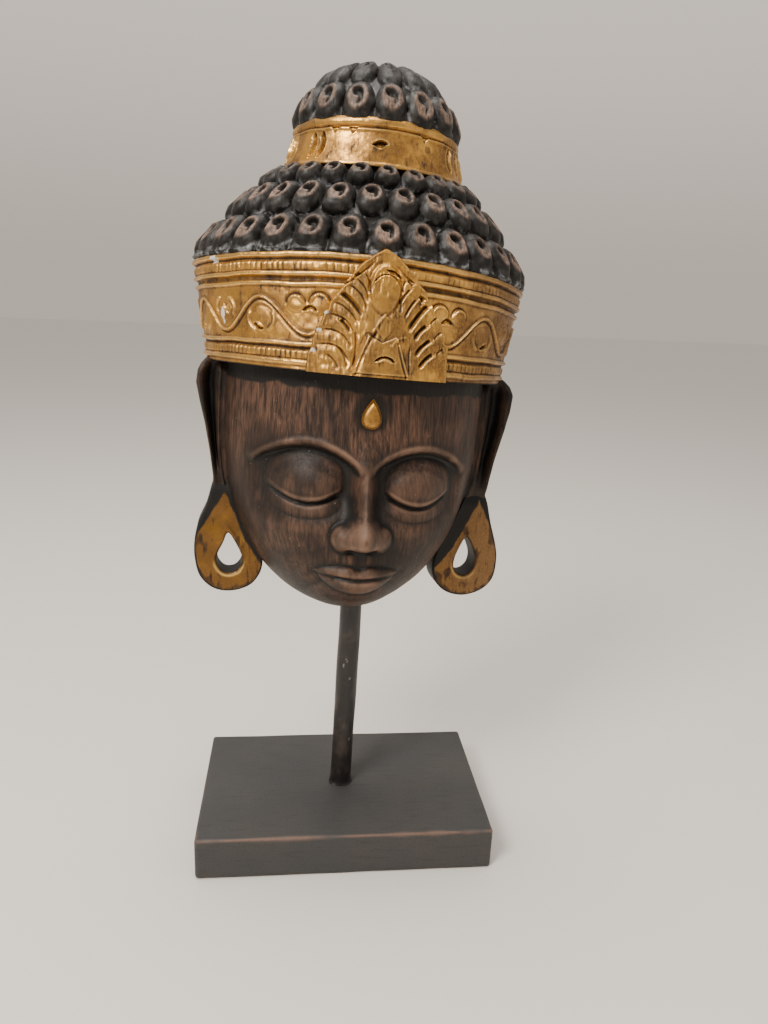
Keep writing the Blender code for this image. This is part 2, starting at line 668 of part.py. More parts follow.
def build_base(parts, cutters):
    """The block, with the socket that the rod stands in."""
    base = block("base", BASE_WIDTH, BASE_DEPTH, BASE_HEIGHT)
    base.data.materials.append(make_material("black paint on block", (0.020, 0.019, 0.019), 0.55))
    parts.objects.link(base)
    edges = base.modifiers.new("rounded edges", "BEVEL")
    edges.width = BASE_EDGE_ROUND
    edges.segments = 2
    socket = cylinder("base socket", ROD_DIAMETER / 2 + CLEARANCE, 2 * SOCKET_DEPTH_BASE)
    along_rod(socket, BASE_HEIGHT - SOCKET_DEPTH_BASE)
    place_helper(socket, cutters)
    add_boolean(base, socket, "DIFFERENCE")


def build_rod(parts):
    """The rod, from the socket in the block to the one under the chin."""
    low = BASE_HEIGHT - SOCKET_DEPTH_BASE + CLEARANCE
    high = BASE_HEIGHT + CHIN_ABOVE_BASE + SOCKET_DEPTH_MASK - CLEARANCE
    rod = cylinder("rod", ROD_DIAMETER / 2, (high - low) / math.cos(ROD_LEAN))
    rod.data.materials.append(make_material("black rod paint", (0.017, 0.015, 0.014), 0.45))
    parts.objects.link(rod)
    along_rod(rod, low)
    ends = rod.modifiers.new("rounded ends", "BEVEL")
    ends.width = ROD_END_ROUND
    ends.segments = 1
    rod.data.shade_smooth()
    rod.data.set_sharp_from_angle(angle=math.radians(40))


def build_mask(parts, cutters):
    """The carved head with its ears, the hollow behind it and the socket under its chin."""
    seat = bpy.data.objects.new("mask seat", None)
    seat.matrix_world = mask_matrix()
    parts.objects.link(seat)
    mask = bpy.data.objects.new("mask", head_mesh())
    for name, color, roughness, metallic in (
        ("dark brown wood", (0.060, 0.026, 0.016), 0.42, 0.0),
        ("black hair paint", (0.018, 0.016, 0.015), 0.40, 0.0),
        ("gold paint", (0.62, 0.36, 0.08), 0.34, 0.85),
    ):
        mask.data.materials.append(make_material(name, color, roughness, metallic))
    parts.objects.link(mask)
    mask.parent = seat
    middle_y = -(EAR_BACK_GAP + EAR_THICKNESS / 2)
    for side, word in ((-1, "left"), (1, "right")):
        ear = flat_outline(f"{word} ear", ear_loops(side), EAR_THICKNESS, 2)
        ear.location.y = middle_y
        place_helper(ear, cutters, seat)
        add_boolean(mask, ear, "UNION")
    hollow = bpy.data.objects.new("hollow", hollow_mesh())
    place_helper(hollow, cutters, seat)
    add_boolean(mask, hollow, "DIFFERENCE")
    for side, word in ((-1, "left"), (1, "right")):
        groove = flat_outline(f"{word} ear groove", groove_loop(side), EAR_GROOVE_DEPTH * 2, 2)
        groove.location.y = -(EAR_BACK_GAP + EAR_THICKNESS)
        place_helper(groove, cutters, seat)
        add_boolean(mask, groove, "DIFFERENCE")
    socket_length = 2 * SOCKET_DEPTH_MASK / math.cos(ROD_LEAN)
    socket = cylinder("chin socket", ROD_DIAMETER / 2 + CLEARANCE, socket_length)
    along_rod(socket, BASE_HEIGHT + CHIN_ABOVE_BASE - SOCKET_DEPTH_MASK)
    place_helper(socket, cutters)
    add_boolean(mask, socket, "DIFFERENCE")
    mask.data.shade_smooth()
    mask.data.set_sharp_from_angle(angle=math.radians(45))


def main():
    """Clear the scene and build the three pieces."""
    for thing in list(bpy.data.objects):
        bpy.data.objects.remove(thing)
    parts = bpy.data.collections.new("buddha mask")
    cutters = bpy.data.collections.new("cutters")
    bpy.context.scene.collection.children.link(parts)
    bpy.context.scene.collection.children.link(cutters)
    build_base(parts, cutters)
    build_rod(parts)
    build_mask(parts, cutters)


main()
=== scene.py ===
"""Looks of the carved and painted Buddha mask on its rod and block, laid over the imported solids.

Lengths are in metres. The mask has a frame of its own, with the origin at the lower edge of the crown
band in the plane of the flat back: x to the viewer's right, -y to the front, z up. Angles round a
section run from -90 degrees at the viewer's left edge of the back to +90 degrees at its right edge.
Carving plans are worked out in millimetres and scaled when the relief is raised.
"""
import math

import bmesh
import bpy
import numpy as np
from bpy.props import FloatProperty, FloatVectorProperty, PointerProperty
from mathutils import Euler, Matrix, Vector


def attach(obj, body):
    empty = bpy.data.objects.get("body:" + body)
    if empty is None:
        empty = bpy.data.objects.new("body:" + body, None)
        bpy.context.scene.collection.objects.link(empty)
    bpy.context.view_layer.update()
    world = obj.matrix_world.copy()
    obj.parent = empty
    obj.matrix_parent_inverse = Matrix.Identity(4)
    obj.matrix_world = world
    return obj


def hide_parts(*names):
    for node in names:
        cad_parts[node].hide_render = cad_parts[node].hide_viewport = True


bl_info = {
    "name": "Buddha mask on stand",
    "version": (1, 0, 0),
    "blender": (4, 5, 0),
    "location": "3D View > Sidebar > Mask",
    "description": "Builds the carved mask, its rod and its block, piece by piece",
    "category": "Add Mesh",
}

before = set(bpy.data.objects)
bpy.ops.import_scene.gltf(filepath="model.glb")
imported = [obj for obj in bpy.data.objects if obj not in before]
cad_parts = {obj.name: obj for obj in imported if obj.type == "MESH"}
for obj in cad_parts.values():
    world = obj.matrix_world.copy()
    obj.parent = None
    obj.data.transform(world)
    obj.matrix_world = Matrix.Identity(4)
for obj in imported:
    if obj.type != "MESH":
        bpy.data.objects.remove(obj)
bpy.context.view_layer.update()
MM = 0.001
BAND_ARC = 88.0  # mean radius of the crown band in millimetres, for carving plans laid out along its arc
BAND_TALL = 58.0  # height of that plan
KNOT_BAND_ARC = 49.0  # the same for the topknot band
LOW_LEVEL = -0.075  # a level of the face below the mouth, where the hollow's width is taken from the egg


def length(name, default, description):
    """A length that a user may change."""
    return FloatProperty(name=name, description=description, default=default, unit="LENGTH", precision=4)


def turn(name, degrees, description):
    """An angle that a user may change, given in degrees here."""
    angle = math.radians(degrees)
    return FloatProperty(name=name, description=description, default=angle, subtype="ANGLE", unit="ROTATION")


def colour(name, default, description):
    """A paint or wood colour that a user may change."""
    limits = {"size": 3, "min": 0.0, "max": 1.0}
    return FloatVectorProperty(name=name, description=description, default=default, subtype="COLOR", **limits)


class StandSizes(bpy.types.PropertyGroup):
    """Sizes of the block and the rod, and the pose of the mask on them."""

    base_width: length("Block width", 0.180, "Long side of the block")
    base_depth: length("Block depth", 0.111, "Short side of the block")
    base_height: length("Block height", 0.027, "Thickness of the block")
    base_round: length("Block edge", 0.0019, "Radius of the block's rubbed edges")
    rod_width: length("Rod diameter", 0.0135, "Thickness of the rod")
    rod_foot: length("Rod foot", -0.002, "Sideways place of the rod at the floor")
    rod_lean: turn("Rod lean", 1.7, "Lean of the rod to the viewer's right")
    chin_height: length("Chin height", 0.1280, "Height of the chin over the block")
    chin_socket: length("Rod in chin", 0.040, "How far the rod goes up into the chin")
    yaw: turn("Mask turn", 4.0, "Turn of the mask about the upright")
    roll: turn("Mask roll", 3.5, "Lean of the mask to the viewer's right")
    nod: turn("Mask nod", -3.8, "Tip of the mask to the back")
    seat_x: length("Seat sideways", 0.0078, "Where the rod meets the chin, sideways in the mask")
    seat_y: length("Seat depth", -0.0128, "Where the rod meets the chin, front to back in the mask")


class FaceSizes(bpy.types.PropertyGroup):
    """Sizes of the face, on the plan of thirds, and of the drop between the brows."""

    height: length("Face height", 0.141, "Chin to crown band")
    half_width: length("Half width", 0.077, "Middle of the face to its widest place")
    depth: length("Depth", 0.076, "Flat back to the front of the brow")
    hairline: length("Hairline", 0.008, "How far the hairline is hidden above the band's lower edge")
    widest: length("Widest place", 0.025, "Where the face is widest, below the crown band")
    nose_rise: length("Nose", 0.0175, "How far the nose stands out at its tip")
    lid_rise: length("Lids", 0.0072, "Fullness of the lowered lids")
    socket_sink: length("Sockets", 0.0068, "Depth of the hollow under the brows")
    lip_rise: length("Lips", 0.0050, "Fullness of the lips")
    cheek_rise: length("Cheeks", 0.0030, "Fullness of the cheeks")
    chin_rise: length("Chin", 0.0045, "Fullness of the chin")
    mark_below: length("Drop place", 0.019, "Middle of the gold drop below the crown band")
    mark_height: length("Drop height", 0.0150, "Length of the gold drop")
    mark_width: length("Drop width", 0.0118, "Width of the gold drop")
    mark_rise: length("Drop rise", 0.0030, "How far the gold drop stands out")


class CrownSizes(bpy.types.PropertyGroup):
    """Sizes of the crown band and of the leaf on its front."""

    height: length("Band height", 0.0523, "Height of the crown band at the sides")
    front_rise: length("Front rise", 0.0060, "How much higher the band is at the front")
    bottom_width: length("Bottom half width", 0.0860, "Half width at the lower edge")
    bottom_depth: length("Bottom depth", 0.0844, "Depth at the lower edge")
    top_width: length("Top half width", 0.0951, "Half width at the upper edge")
    top_depth: length("Top depth", 0.0750, "Depth at the upper edge")
    bead_pitch: length("Bead spacing", 0.0031, "Spacing of the beads in the two ropes")
    wave_start: turn("Scroll start", 23.5, "Where the scroll's first low point lies, beside the leaf")
    wave_period: turn("Scroll length", 34.0, "Angle from one low point of the scroll to the next")
    wave_rise: length("Scroll swing", 0.0088, "Half the height of the scroll")
    leaf_height: length("Leaf height", 0.0614, "Height of the leaf's tip")
    leaf_rise: length("Leaf rise", 0.0036, "How far the leaf stands out of the band")


class HairSizes(bpy.types.PropertyGroup):
    """Sizes of the hair, the topknot band and the topknot."""

    bottom_width: length("Hair half width", 0.0930, "Half width of the hair above the crown band")
    bottom_depth: length("Hair depth", 0.0720, "Depth of the hair above the crown band")
    top_width: length("Hair top half width", 0.0485, "Half width under the topknot band")
    top_depth: length("Hair top depth", 0.0440, "Depth under the topknot band")
    top_z: length("Hair top", 0.1042, "Height of the hair's upper edge")
    bulge: length("Bulge", 0.0038, "How much the hair swells between its edges")
    curl_rise: length("Curls", 0.0064, "How far the curls stand out")
    shift: length("Topknot shift", 0.0020, "How far the topknot sits to the viewer's right")
    ring_bottom_width: length("Topknot band bottom half width", 0.0518, "Half width at its lower edge")
    ring_bottom_depth: length("Topknot band bottom depth", 0.0480, "Depth at its lower edge")
    ring_top_width: length("Topknot band top half width", 0.0452, "Half width at its upper edge")
    ring_top_depth: length("Topknot band top depth", 0.0452, "Depth at its upper edge")
    ring_top_z: length("Topknot band top", 0.1283, "Height of its upper edge")
    knot_width: length("Topknot half width", 0.0430, "Half width of the topknot")
    knot_depth: length("Topknot depth", 0.0428, "Depth of the topknot")
    knot_top: length("Topknot top", 0.1608, "Height of the topknot's highest point")
    knot_curl_rise: length("Topknot curls", 0.0050, "How far the topknot's curls stand out")


class EarSizes(bpy.types.PropertyGroup):
    """Sizes of the ears and of the hollow behind the face."""

    back_gap: length("Back gap", 0.003, "Gap between the ears and the plane of the back")
    thickness: length("Thickness", 0.017, "Front to back thickness of ears and lobes")
    groove: length("Groove", 0.0060, "Depth of the hollow inside the rim")
    edge: length("Lobe edge", 0.0016, "Radius of the lobes' edges")
    border: length("Lobe border", 0.0016, "Width of the black line round the gold of a lobe")
    wall: length("Wall", 0.015, "Wall left round the hollow behind the face")
    hollow_bottom: length("Hollow bottom", -0.086, "Lowest point of the hollow")
    hollow_top: length("Hollow top", 0.094, "Highest point of the hollow")


class Finishes(bpy.types.PropertyGroup):
    """Colours of the wood and the paints."""

    wood_dark: colour("Stained wood", (0.0100, 0.0066, 0.0050), "Dark stain in the hollows of the face")
    wood_red: colour("Rubbed wood", (0.138, 0.068, 0.041), "Wood where the stain is rubbed thin")
    wood_worn: colour("Worn wood", (0.185, 0.108, 0.070), "Bare wood on the highest edges")
    black: colour("Black paint", (0.0078, 0.0066, 0.0058), "Black paint on the hair, ears and rod")
    curl_brown: colour("Curl wood", (0.285, 0.195, 0.145), "Wood showing on the curls")
    dust: colour("Dust", (0.20, 0.205, 0.215), "Grey paint dust in the seams of the hair")
    gold: colour("Gold paint", (0.62, 0.315, 0.066), "Gold paint on the crown and lobes")
    gold_worn: colour("Thin gold", (0.185, 0.092, 0.034), "Gold paint where it is rubbed thin")
    # The brown in the cuts of the gold is brown stain together with painted shade.
    gold_dark: colour("Gold in the cuts", (0.030, 0.013, 0.005), "Brown stain in the cuts of the gold")
    chip: colour("Chips", (0.62, 0.58, 0.54), "White ground where the gold has chipped off")
    block: colour("Block paint", (0.048, 0.0475, 0.0475), "Black-grey paint on the block")
    floor: colour("Floor", (0.74, 0.695, 0.635), "Plain pale floor")


def sizes(name):
    """One of the property groups, as it stands in the scene."""
    return getattr(bpy.context.scene, name)


def spread(columns, evenness):
    """Angles from -90 to +90 degrees: u times the evenness plus u cubed times the rest."""
    u = np.linspace(-1, 1, columns + 1)
    return (evenness * u + (1 - evenness) * u**3) * math.pi / 2


def smooth(value):
    """A smooth step, 3 t squared minus 2 t cubed, while t goes from 0 to 1."""
    t = np.clip(value, 0, 1)
    return t * t * (3 - 2 * t)


def dome(dx, dz):
    """A half-sphere of height 1 over the unit circle: the root of 1 - dx squared - dz squared."""
    return np.sqrt(np.clip(1 - dx**2 - dz**2, 0, None))


def swell(dx, dz, power):
    """A soft mound over the unit circle: 1 - dx squared - dz squared, to a power."""
    return np.clip(1 - dx**2 - dz**2, 0, None) ** power


def blend(first, second):
    """The greater of two heights, rounded where they meet: fifth root of the sum of fifth powers."""
    return (first**5 + second**5) ** 0.2


def bell(value, power=2):
    """A bell, e to minus the value to a power; flatter on top for a higher power."""
    return np.exp(-(np.abs(value) ** power))


def value_noise(u, v, cell, seed):
    """Smooth noise from -1 to 1: seeded random numbers on a square lattice, blended by smooth steps."""
    table = np.random.default_rng(seed).uniform(-1, 1, (64, 64))
    x, y = np.asarray(u) / cell, np.asarray(v) / cell
    i, j = np.floor(x).astype(int), np.floor(y).astype(int)
    s, t = smooth(x - i), smooth(y - j)
    low = table[i % 64, j % 64] * (1 - s) + table[(i + 1) % 64, j % 64] * s
    high = table[i % 64, (j + 1) % 64] * (1 - s) + table[(i + 1) % 64, (j + 1) % 64] * s
    return low * (1 - t) + high * t


def blur(grid, passes):
    """A grid averaged with its four neighbours, a number of times, with its edges repeated."""
    for _ in range(passes):
        padded = np.pad(grid, 1, mode="edge")
        around = padded[:-2, 1:-1] + padded[2:, 1:-1] + padded[1:-1, :-2] + padded[1:-1, 2:]
        grid = grid * 0.5 + around * 0.125
    return grid


def hollows_and_edges(relief, passes, scale):
    """Where a relief lies below its own blurred copy, and where above, each from 0 to 1."""
    step = (blur(relief, passes) - relief) / scale
    return np.clip(step, 0, 1), np.clip(-step, 0, 1)


def stroke(u, v, line):
    """Distance to a bent line, which side a point is on (1 left, -1 right), and the share along it."""
    best = np.full(np.shape(u), 1e9)
    side, share = np.zeros_like(best), np.zeros_like(best)
    line = np.asarray(line, float)
    steps = np.linalg.norm(np.diff(line, axis=0), axis=1)
    starts = np.concatenate([[0], np.cumsum(steps)]) / steps.sum()
    for k, step in enumerate(steps):
        along = (line[k + 1] - line[k]) / step
        du, dv = u - line[k, 0], v - line[k, 1]
        t = np.clip(du * along[0] + dv * along[1], 0, step)
        distance = np.hypot(du - t * along[0], dv - t * along[1])
        closer = distance < best
        best = np.where(closer, distance, best)
        side = np.where(closer, np.sign(along[0] * dv - along[1] * du), side)
        share = np.where(closer, starts[k] + t / step * (starts[k + 1] - starts[k]), share)
    return best, side, share


def bent(start, end, sag, count=9):
    """Points of a shallow arc from start to end: the straight line plus a parabola to its left."""
    t = np.linspace(0, 1, count)[:, None]
    start, end = np.asarray(start, float), np.asarray(end, float)
    left = np.array([-(end - start)[1], (end - start)[0]])
    return start + (end - start) * t + left * sag * 4 * t * (1 - t)


def thumb_cut(u, v, middle, radius, depth, lean=0.0, reach=70.0, width=None):
    """A gouge's crescent, in millimetres: a steep wall along an arc, a pit that shallows inwards in a
    straight slope over its width, and a raised burr along its inner edge.

    Across, it fades out at the reach in degrees to both sides of its lean.
    """
    width = width or 0.52 * radius
    du, dv = u - middle[0], v - middle[1]
    angle = np.abs((np.degrees(np.arctan2(du, dv)) - lean + 180) % 360 - 180)
    inside = radius - np.hypot(du, dv)
    fade = smooth((reach - angle) / 26.0)
    pit = smooth(inside / 0.35 + 0.5) * np.clip(1 - inside / np.maximum(width * fade, 0.05), 0, 1)
    burr = bell((inside - 1.15 * width * fade) / 0.5)
    return depth * (0.26 * burr - pit) * fade


def closed_curve(points, count):
    """A closed smooth curve through points, as evenly spaced points along its length.

    Between points it is the Catmull-Rom cubic of the four points around.
    """
    points = np.asarray(points, float)
    place = np.linspace(0, len(points), len(points) * 24 + 1)
    i = np.floor(place).astype(int) % len(points)
    t = (place - np.floor(place))[:, None]
    p0, p1, p2, p3 = (points[(i + k) % len(points)] for k in (-1, 0, 1, 2))
    dense = 0.5 * (2 * p1 + (p2 - p0) * t + (2 * p0 - 5 * p1 + 4 * p2 - p3) * t**2
                   + (3 * p1 - p0 - 3 * p2 + p3) * t**3)
    run = np.concatenate([[0], np.cumsum(np.linalg.norm(np.diff(dense, axis=0), axis=1))])
    want = np.linspace(0, run[-1], count + 1)[:-1]
    return np.stack([np.interp(want, run, dense[:, k]) for k in range(points.shape[1])], axis=-1)


def half_section(angle, width, depth, z):
    """Points of half-ellipses: x is the width times the sine, y minus the depth times the cosine."""
    return np.stack(np.broadcast_arrays(width * np.sin(angle), -depth * np.cos(angle), z), axis=-1)


def taper(group, share, prefix=""):
    """Half width and depth at a share of a zone's height, each on a straight line from bottom to top."""
    ends = [[getattr(group, f"{prefix}{end}_{size}") for end in ("bottom", "top")] for size in ("width", "depth")]
    return [low + (high - low) * share for low, high in ends]


def raise_relief(points, relief):
    """Points moved along the surface's own normal by the relief, the two edges kept in the back plane."""
    normal = np.cross(np.gradient(points, axis=1), np.gradient(points, axis=0))
    normal[:, [0, -1], 1] = 0
    size = np.linalg.norm(normal, axis=-1, keepdims=True)
    return points + normal / np.maximum(size, 1e-12) * relief[..., None]


def rod_point(height):
    """The point of the rod's axis at a height over the floor."""
    stand = sizes("stand_sizes")
    return Vector((stand.rod_foot + math.tan(stand.rod_lean) * height, 0, height))


def mask_matrix():
    """Place of the mask: turned by its nod, roll and turn, with the seat under its chin on the rod."""
    stand, face = sizes("stand_sizes"), sizes("face_sizes")
    rotation = Euler((stand.nod, stand.roll, stand.yaw), "XYZ").to_matrix()
    seat = Vector((stand.seat_x, stand.seat_y, -face.height))
    place = rod_point(stand.base_height + stand.chin_height) - rotation @ seat
    return Matrix.Translation(place) @ rotation.to_4x4()


def into_place(points):
    """Points of the mask's own frame, as an array, moved to where the mask hangs on its rod."""
    matrix = np.array(mask_matrix())
    return points @ matrix[:3, :3].T + matrix[:3, 3]


def hollow_depth(x, z):
    """How deep the back is scooped out: the head's sections, a wall smaller, faded to the ends."""
    ears, face, crown, hair = (sizes(n) for n in ("ear_sizes", "face_sizes", "crown_sizes", "hair_sizes"))
    share = np.clip((z - ears.hollow_bottom) / (ears.hollow_top - ears.hollow_bottom), 0, 1)
    ends = np.clip(1 - np.abs(2 * share - 1) ** 3, 0, 1) ** 0.5
    low_width, low_depth = face_outline(LOW_LEVEL)
    stops = (-face.height, LOW_LEVEL, -face.widest, 0, crown.height, hair.top_z)
    widths = (0, low_width, face.half_width, face.half_width, hair.bottom_width, hair.top_width)
    depths = (0, low_depth, face.depth, face.depth, hair.bottom_depth, hair.top_depth)
    width = (np.interp(z, stops, widths) - ears.wall) * ends
    depth = (np.interp(z, stops, depths) - ears.wall) * ends
    scoop = depth * np.sqrt(np.clip(1 - (x / np.maximum(width, 1e-6)) ** 2, 0, 1))
    marks = 0.0007 * np.cos(x / 0.0016 + 3 * value_noise(x, z, 0.03, 5)) + 0.0009 * value_noise(x, z, 0.012, 6)
    return np.where(scoop > 0, np.clip(scoop + marks * smooth(scoop / 0.01), 0, None), 0), width


def close_with_back(points, fields, back_columns=64, hidden=()):
    """Carry each row of a front surface on across the back, scooped out, to a closed ring.

    Hidden rows lie inside the neighbouring zone, with their back a millimetre inside its wood.
    """
    share = np.linspace(1, -1, back_columns + 2)[1:-1][None, :]
    share[0, [0, -1]] = 0.99, -0.99
    inset = np.zeros((len(points), 1))
    inset[list(hidden)] = 0.001
    right, left, z = points[:, -1:, 0], points[:, :1, 0], points[:, -1:, 2]
    middle, edge = (right + left) / 2, (right - left) / 2
    rim = np.maximum(hollow_depth(0 * z, z)[1] + inset, 0.3 * edge)
    inner = rim * np.sin(np.clip(share / 0.84, -1, 1) * math.pi / 2)
    outer = np.sign(share) * (rim + (edge - rim) * (np.abs(share) - 0.84) / 0.16)
    x = np.where(np.abs(share) < 0.84, inner, outer)
    z = np.where(np.abs(share) < 0.98, np.sort(z, axis=0), z)
    back = np.stack([middle + x, -hollow_depth(x, z)[0] - inset, z], axis=-1)
    ring = np.concatenate([points, back], axis=1)
    none = np.zeros(x.shape)
    fields = {name: np.concatenate([field, none], axis=1) for name, field in fields.items()}
    fields["back"] = np.concatenate([np.zeros(points.shape[:2]), none + 1], axis=1)
    return ring, fields


def inner_step(points, fields, at_top, rise):
    """One more row inside the neighbouring zone: the end row shrunk a little and set on by the rise."""
    row = points[-1:] if at_top else points[:1]
    step = row * [0.96, 0.96, 1.0] + [0.0, -0.001, rise if at_top else -rise]
    order = (lambda old, new: np.concatenate([old, new])) if at_top else (
        lambda old, new: np.concatenate([new, old]))
    pick = slice(-1, None) if at_top else slice(0, 1)
    return order(points, step), {name: order(field, field[pick]) for name, field in fields.items()}


def ring_faces(rows, columns, start=0):
    """Quads between the rows of a grid whose columns close to a ring."""
    index = np.arange(rows * columns).reshape(rows, columns) + start
    after = np.roll(index, -1, axis=1)
    quads = np.stack([index[:-1], after[:-1], after[1:], index[1:]], axis=-1)
    return quads.reshape(-1, 4).tolist()


def ring_body(ring, bottom=None, top=None):
    """A closed body from rings: each end closed by a point, or by a flat face where none is given."""
    rows, columns = ring.shape[:2]
    verts, faces = ring.reshape(-1, 3), ring_faces(rows, columns)
    first, last = list(range(columns)), list(range((rows - 1) * columns, rows * columns))
    for point, loop, low in ((bottom, first, True), (top, last, False)):
        if point is None:
            faces.append(loop[::-1] if low else loop)
            continue
        verts = np.concatenate([verts, [point]])
        pole = len(verts) - 1
        pairs = zip(loop, loop[1:] + loop[:1])
        faces += [(b, a, pole) if low else (a, b, pole) for a, b in pairs]
    return verts, faces


def signed_volume(verts, faces):
    """Volume inside a body, negative where its faces point inwards."""
    flat = [(f[0], f[k], f[k + 1]) for f in faces for k in range(1, len(f) - 1)]
    a, b, c = (verts[np.array(flat)[:, k]] for k in range(3))
    return float(np.einsum("ij,ij->i", a, np.cross(b, c)).sum() / 6)


def add_piece(name, verts, faces, fields, material, slot, node, sharp=50.0):
    """Put a body into the scene: outward faces, point attributes, a material, and its place in the frame."""
    centred = verts - verts.mean(axis=0)
    if signed_volume(centred, faces) < 0:
        faces = [tuple(face)[::-1] for face in faces]
    mesh = bpy.data.meshes.new(name)
    mesh.from_pydata(verts, [], faces)
    if mesh.validate():
        raise RuntimeError(f"{name} has faces that don't hold together")
    for key, field in fields.items():
        values = np.asarray(field, np.float32).ravel()
        extra = len(verts) - len(values)
        values = np.concatenate([values, np.full(extra, values[-1])]) if extra else values
        mesh.attributes.new(key, "FLOAT", "POINT").data.foreach_set("value", values)
    mesh.shade_smooth()
    mesh.set_sharp_from_angle(angle=math.radians(sharp))
    mesh.materials.append(material)
    piece = bpy.data.objects.new(name, mesh)
    bpy.context.scene.collection.objects.link(piece)
    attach(piece, "root")
    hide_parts(node)
    return piece


class Value:
    """A number, colour or place that a shader node gives. Arithmetic with it adds nodes that stay
    between 0 and 1; the upright bar takes the greater of two."""

    def __init__(self, socket):
        self.socket = socket

    def node(self, kind, inputs, output=0, **settings):
        """What a new node in the same tree gives."""
        return add_node(self.socket.id_data, kind, inputs, output, **settings)

    def step(self, operation, first, second):
        """One step of arithmetic."""
        return self.node("ShaderNodeMath", {0: first, 1: second}, operation=operation, use_clamp=True)

    def __add__(self, other):
        return self.step("ADD", self, other)

    def __sub__(self, other):
        return self.step("SUBTRACT", self, other)

    def __rsub__(self, other):
        return self.step("SUBTRACT", other, self)

    def __mul__(self, other):
        return self.step("MULTIPLY", self, other)

    def __or__(self, other):
        return self.step("MAXIMUM", self, other)

    def mixed(self, first, second):
        """A colour between two, with this as the factor."""
        first, second = (c if isinstance(c, Value) else (*c, 1.0) for c in (first, second))
        return self.node("ShaderNodeMix", {0: self, 6: first, 7: second}, 2, data_type="RGBA")

    def blended(self, first, second):
        """A number between two, with this as the factor."""
        return self.node("ShaderNodeMix", {0: self, 2: first, 3: second}, data_type="FLOAT")

    def ranged(self, low, high, to_low=0.0, to_high=1.0):
        """This, brought from one range to another with a smooth step."""
        inputs = {"Value": self, "From Min": low, "From Max": high, "To Min": to_low, "To Max": to_high}
        return self.node("ShaderNodeMapRange", inputs, "Result", interpolation_type="SMOOTHSTEP")

    def noise(self, scale, detail=3.0, roughness=0.55):
        """Fractal noise from 0 to 1 at this place."""
        inputs = {"Vector": self, "Scale": scale, "Detail": detail, "Roughness": roughness}
        return self.node("ShaderNodeTexNoise", inputs, "Fac")

    def axis(self, name):
        """One axis of this place."""
        return self.node("ShaderNodeSeparateXYZ", {0: self}, name)

    def bump(self, strength, distance=0.0004):
        """A normal bent by this as a height."""
        inputs = {"Height": self, "Strength": strength, "Distance": distance}
        return self.node("ShaderNodeBump", inputs, "Normal")


def fill(tree, socket, value):
    """Link a value to a socket, or set the socket to a plain number or colour."""
    if isinstance(value, Value):
        tree.links.new(value.socket, socket)
    else:
        socket.default_value = value


def add_node(tree, kind, inputs, output, **settings):
    """A new shader node with its settings and inputs; gives back one of its outputs as a value."""
    node = tree.nodes.new(kind)
    for key, value in settings.items():
        setattr(node, key, value)
    for key, value in inputs.items():
        fill(tree, node.inputs[key], value)
    return Value(node.outputs[output])


def attribute(tree, name):
    """A number kept on the points of the piece."""
    return add_node(tree, "ShaderNodeAttribute", {}, "Fac", attribute_name=name)


def place_on_piece(tree, scale=(1.0, 1.0, 1.0), rotation=(0.0, 0.0, 0.0)):
    """Object coordinates, turned and stretched."""
    place = add_node(tree, "ShaderNodeTexCoord", {}, "Object")
    inputs = {"Vector": place, "Scale": scale, "Rotation": rotation}
    return place.node("ShaderNodeMapping", inputs, "Vector")


def along_grain(tree, share):
    """Object coordinates lined up with the mask, with patterns drawn out upwards to one over the share."""
    stand = sizes("stand_sizes")
    return place_on_piece(tree, (1.0, 1.0, share), (-stand.nod, -stand.roll, -stand.yaw))


def new_material(name, viewport):
    """An empty Principled material and its node tree."""
    material = bpy.data.materials.new(name)
    material.use_nodes = True
    material.diffuse_color = (*viewport, 1.0)
    return material, material.node_tree


def paint(material, **sockets):
    """Fill the shader's sockets, with underscores for spaces, and give back the material."""
    tree = material.node_tree
    for key, value in sockets.items():
        fill(tree, tree.nodes["Principled BSDF"].inputs[key.replace("_", " ")], value)
    return material


def raw_back(tree, base, rough):
    """Unpainted wood over the back, where the piece is marked as back: dark, with grain upwards."""
    grain = along_grain(tree, 0.06).noise(210.0, 4.0, 0.6)
    wood = grain.ranged(0.34, 0.66).mixed((0.030, 0.018, 0.012), (0.085, 0.050, 0.031))
    back = attribute(tree, "back")
    return back.mixed(base, wood), back.blended(rough, 0.72)


def stained_wood(name):
    """Dark stain over red-brown wood: streaks along the grain, black in hollows, rubbed on edges."""
    f = sizes("finishes")
    material, tree = new_material(name, f.wood_red)
    grain = along_grain(tree, 0.10)
    streaks = grain.noise(520.0, 5.0, 0.68).ranged(0.30, 0.66)
    fine = grain.noise(1400.0, 2.0)
    patches = along_grain(tree, 0.6).noise(44.0, 4.0).ranged(0.40, 0.62, 0.20, 1.0)
    rubbed = streaks * (patches * 0.80 + attribute(tree, "light") * 0.36)
    base = (rubbed * fine.ranged(0.30, 0.62, 0.45, 1.0)).mixed(f.wood_dark, f.wood_red)
    base = (attribute(tree, "high") * patches).mixed(base, f.wood_worn)
    # Black where the low mask lies: black paint and stain, with painted shade in the hollows.
    base = attribute(tree, "low").mixed(base, f.black)
    flecks = place_on_piece(tree).noise(760.0, 1.0).ranged(0.76, 0.82)
    base = (flecks * 0.5).mixed(base, (0.34, 0.29, 0.24))
    base, rough = raw_back(tree, base, fine.ranged(0.3, 0.7, 0.46, 0.62))
    return paint(material, Base_Color=base, Roughness=rough, Specular_IOR_Level=0.30,
                 Normal=(fine * 0.6 + streaks * 0.4).bump(0.35))


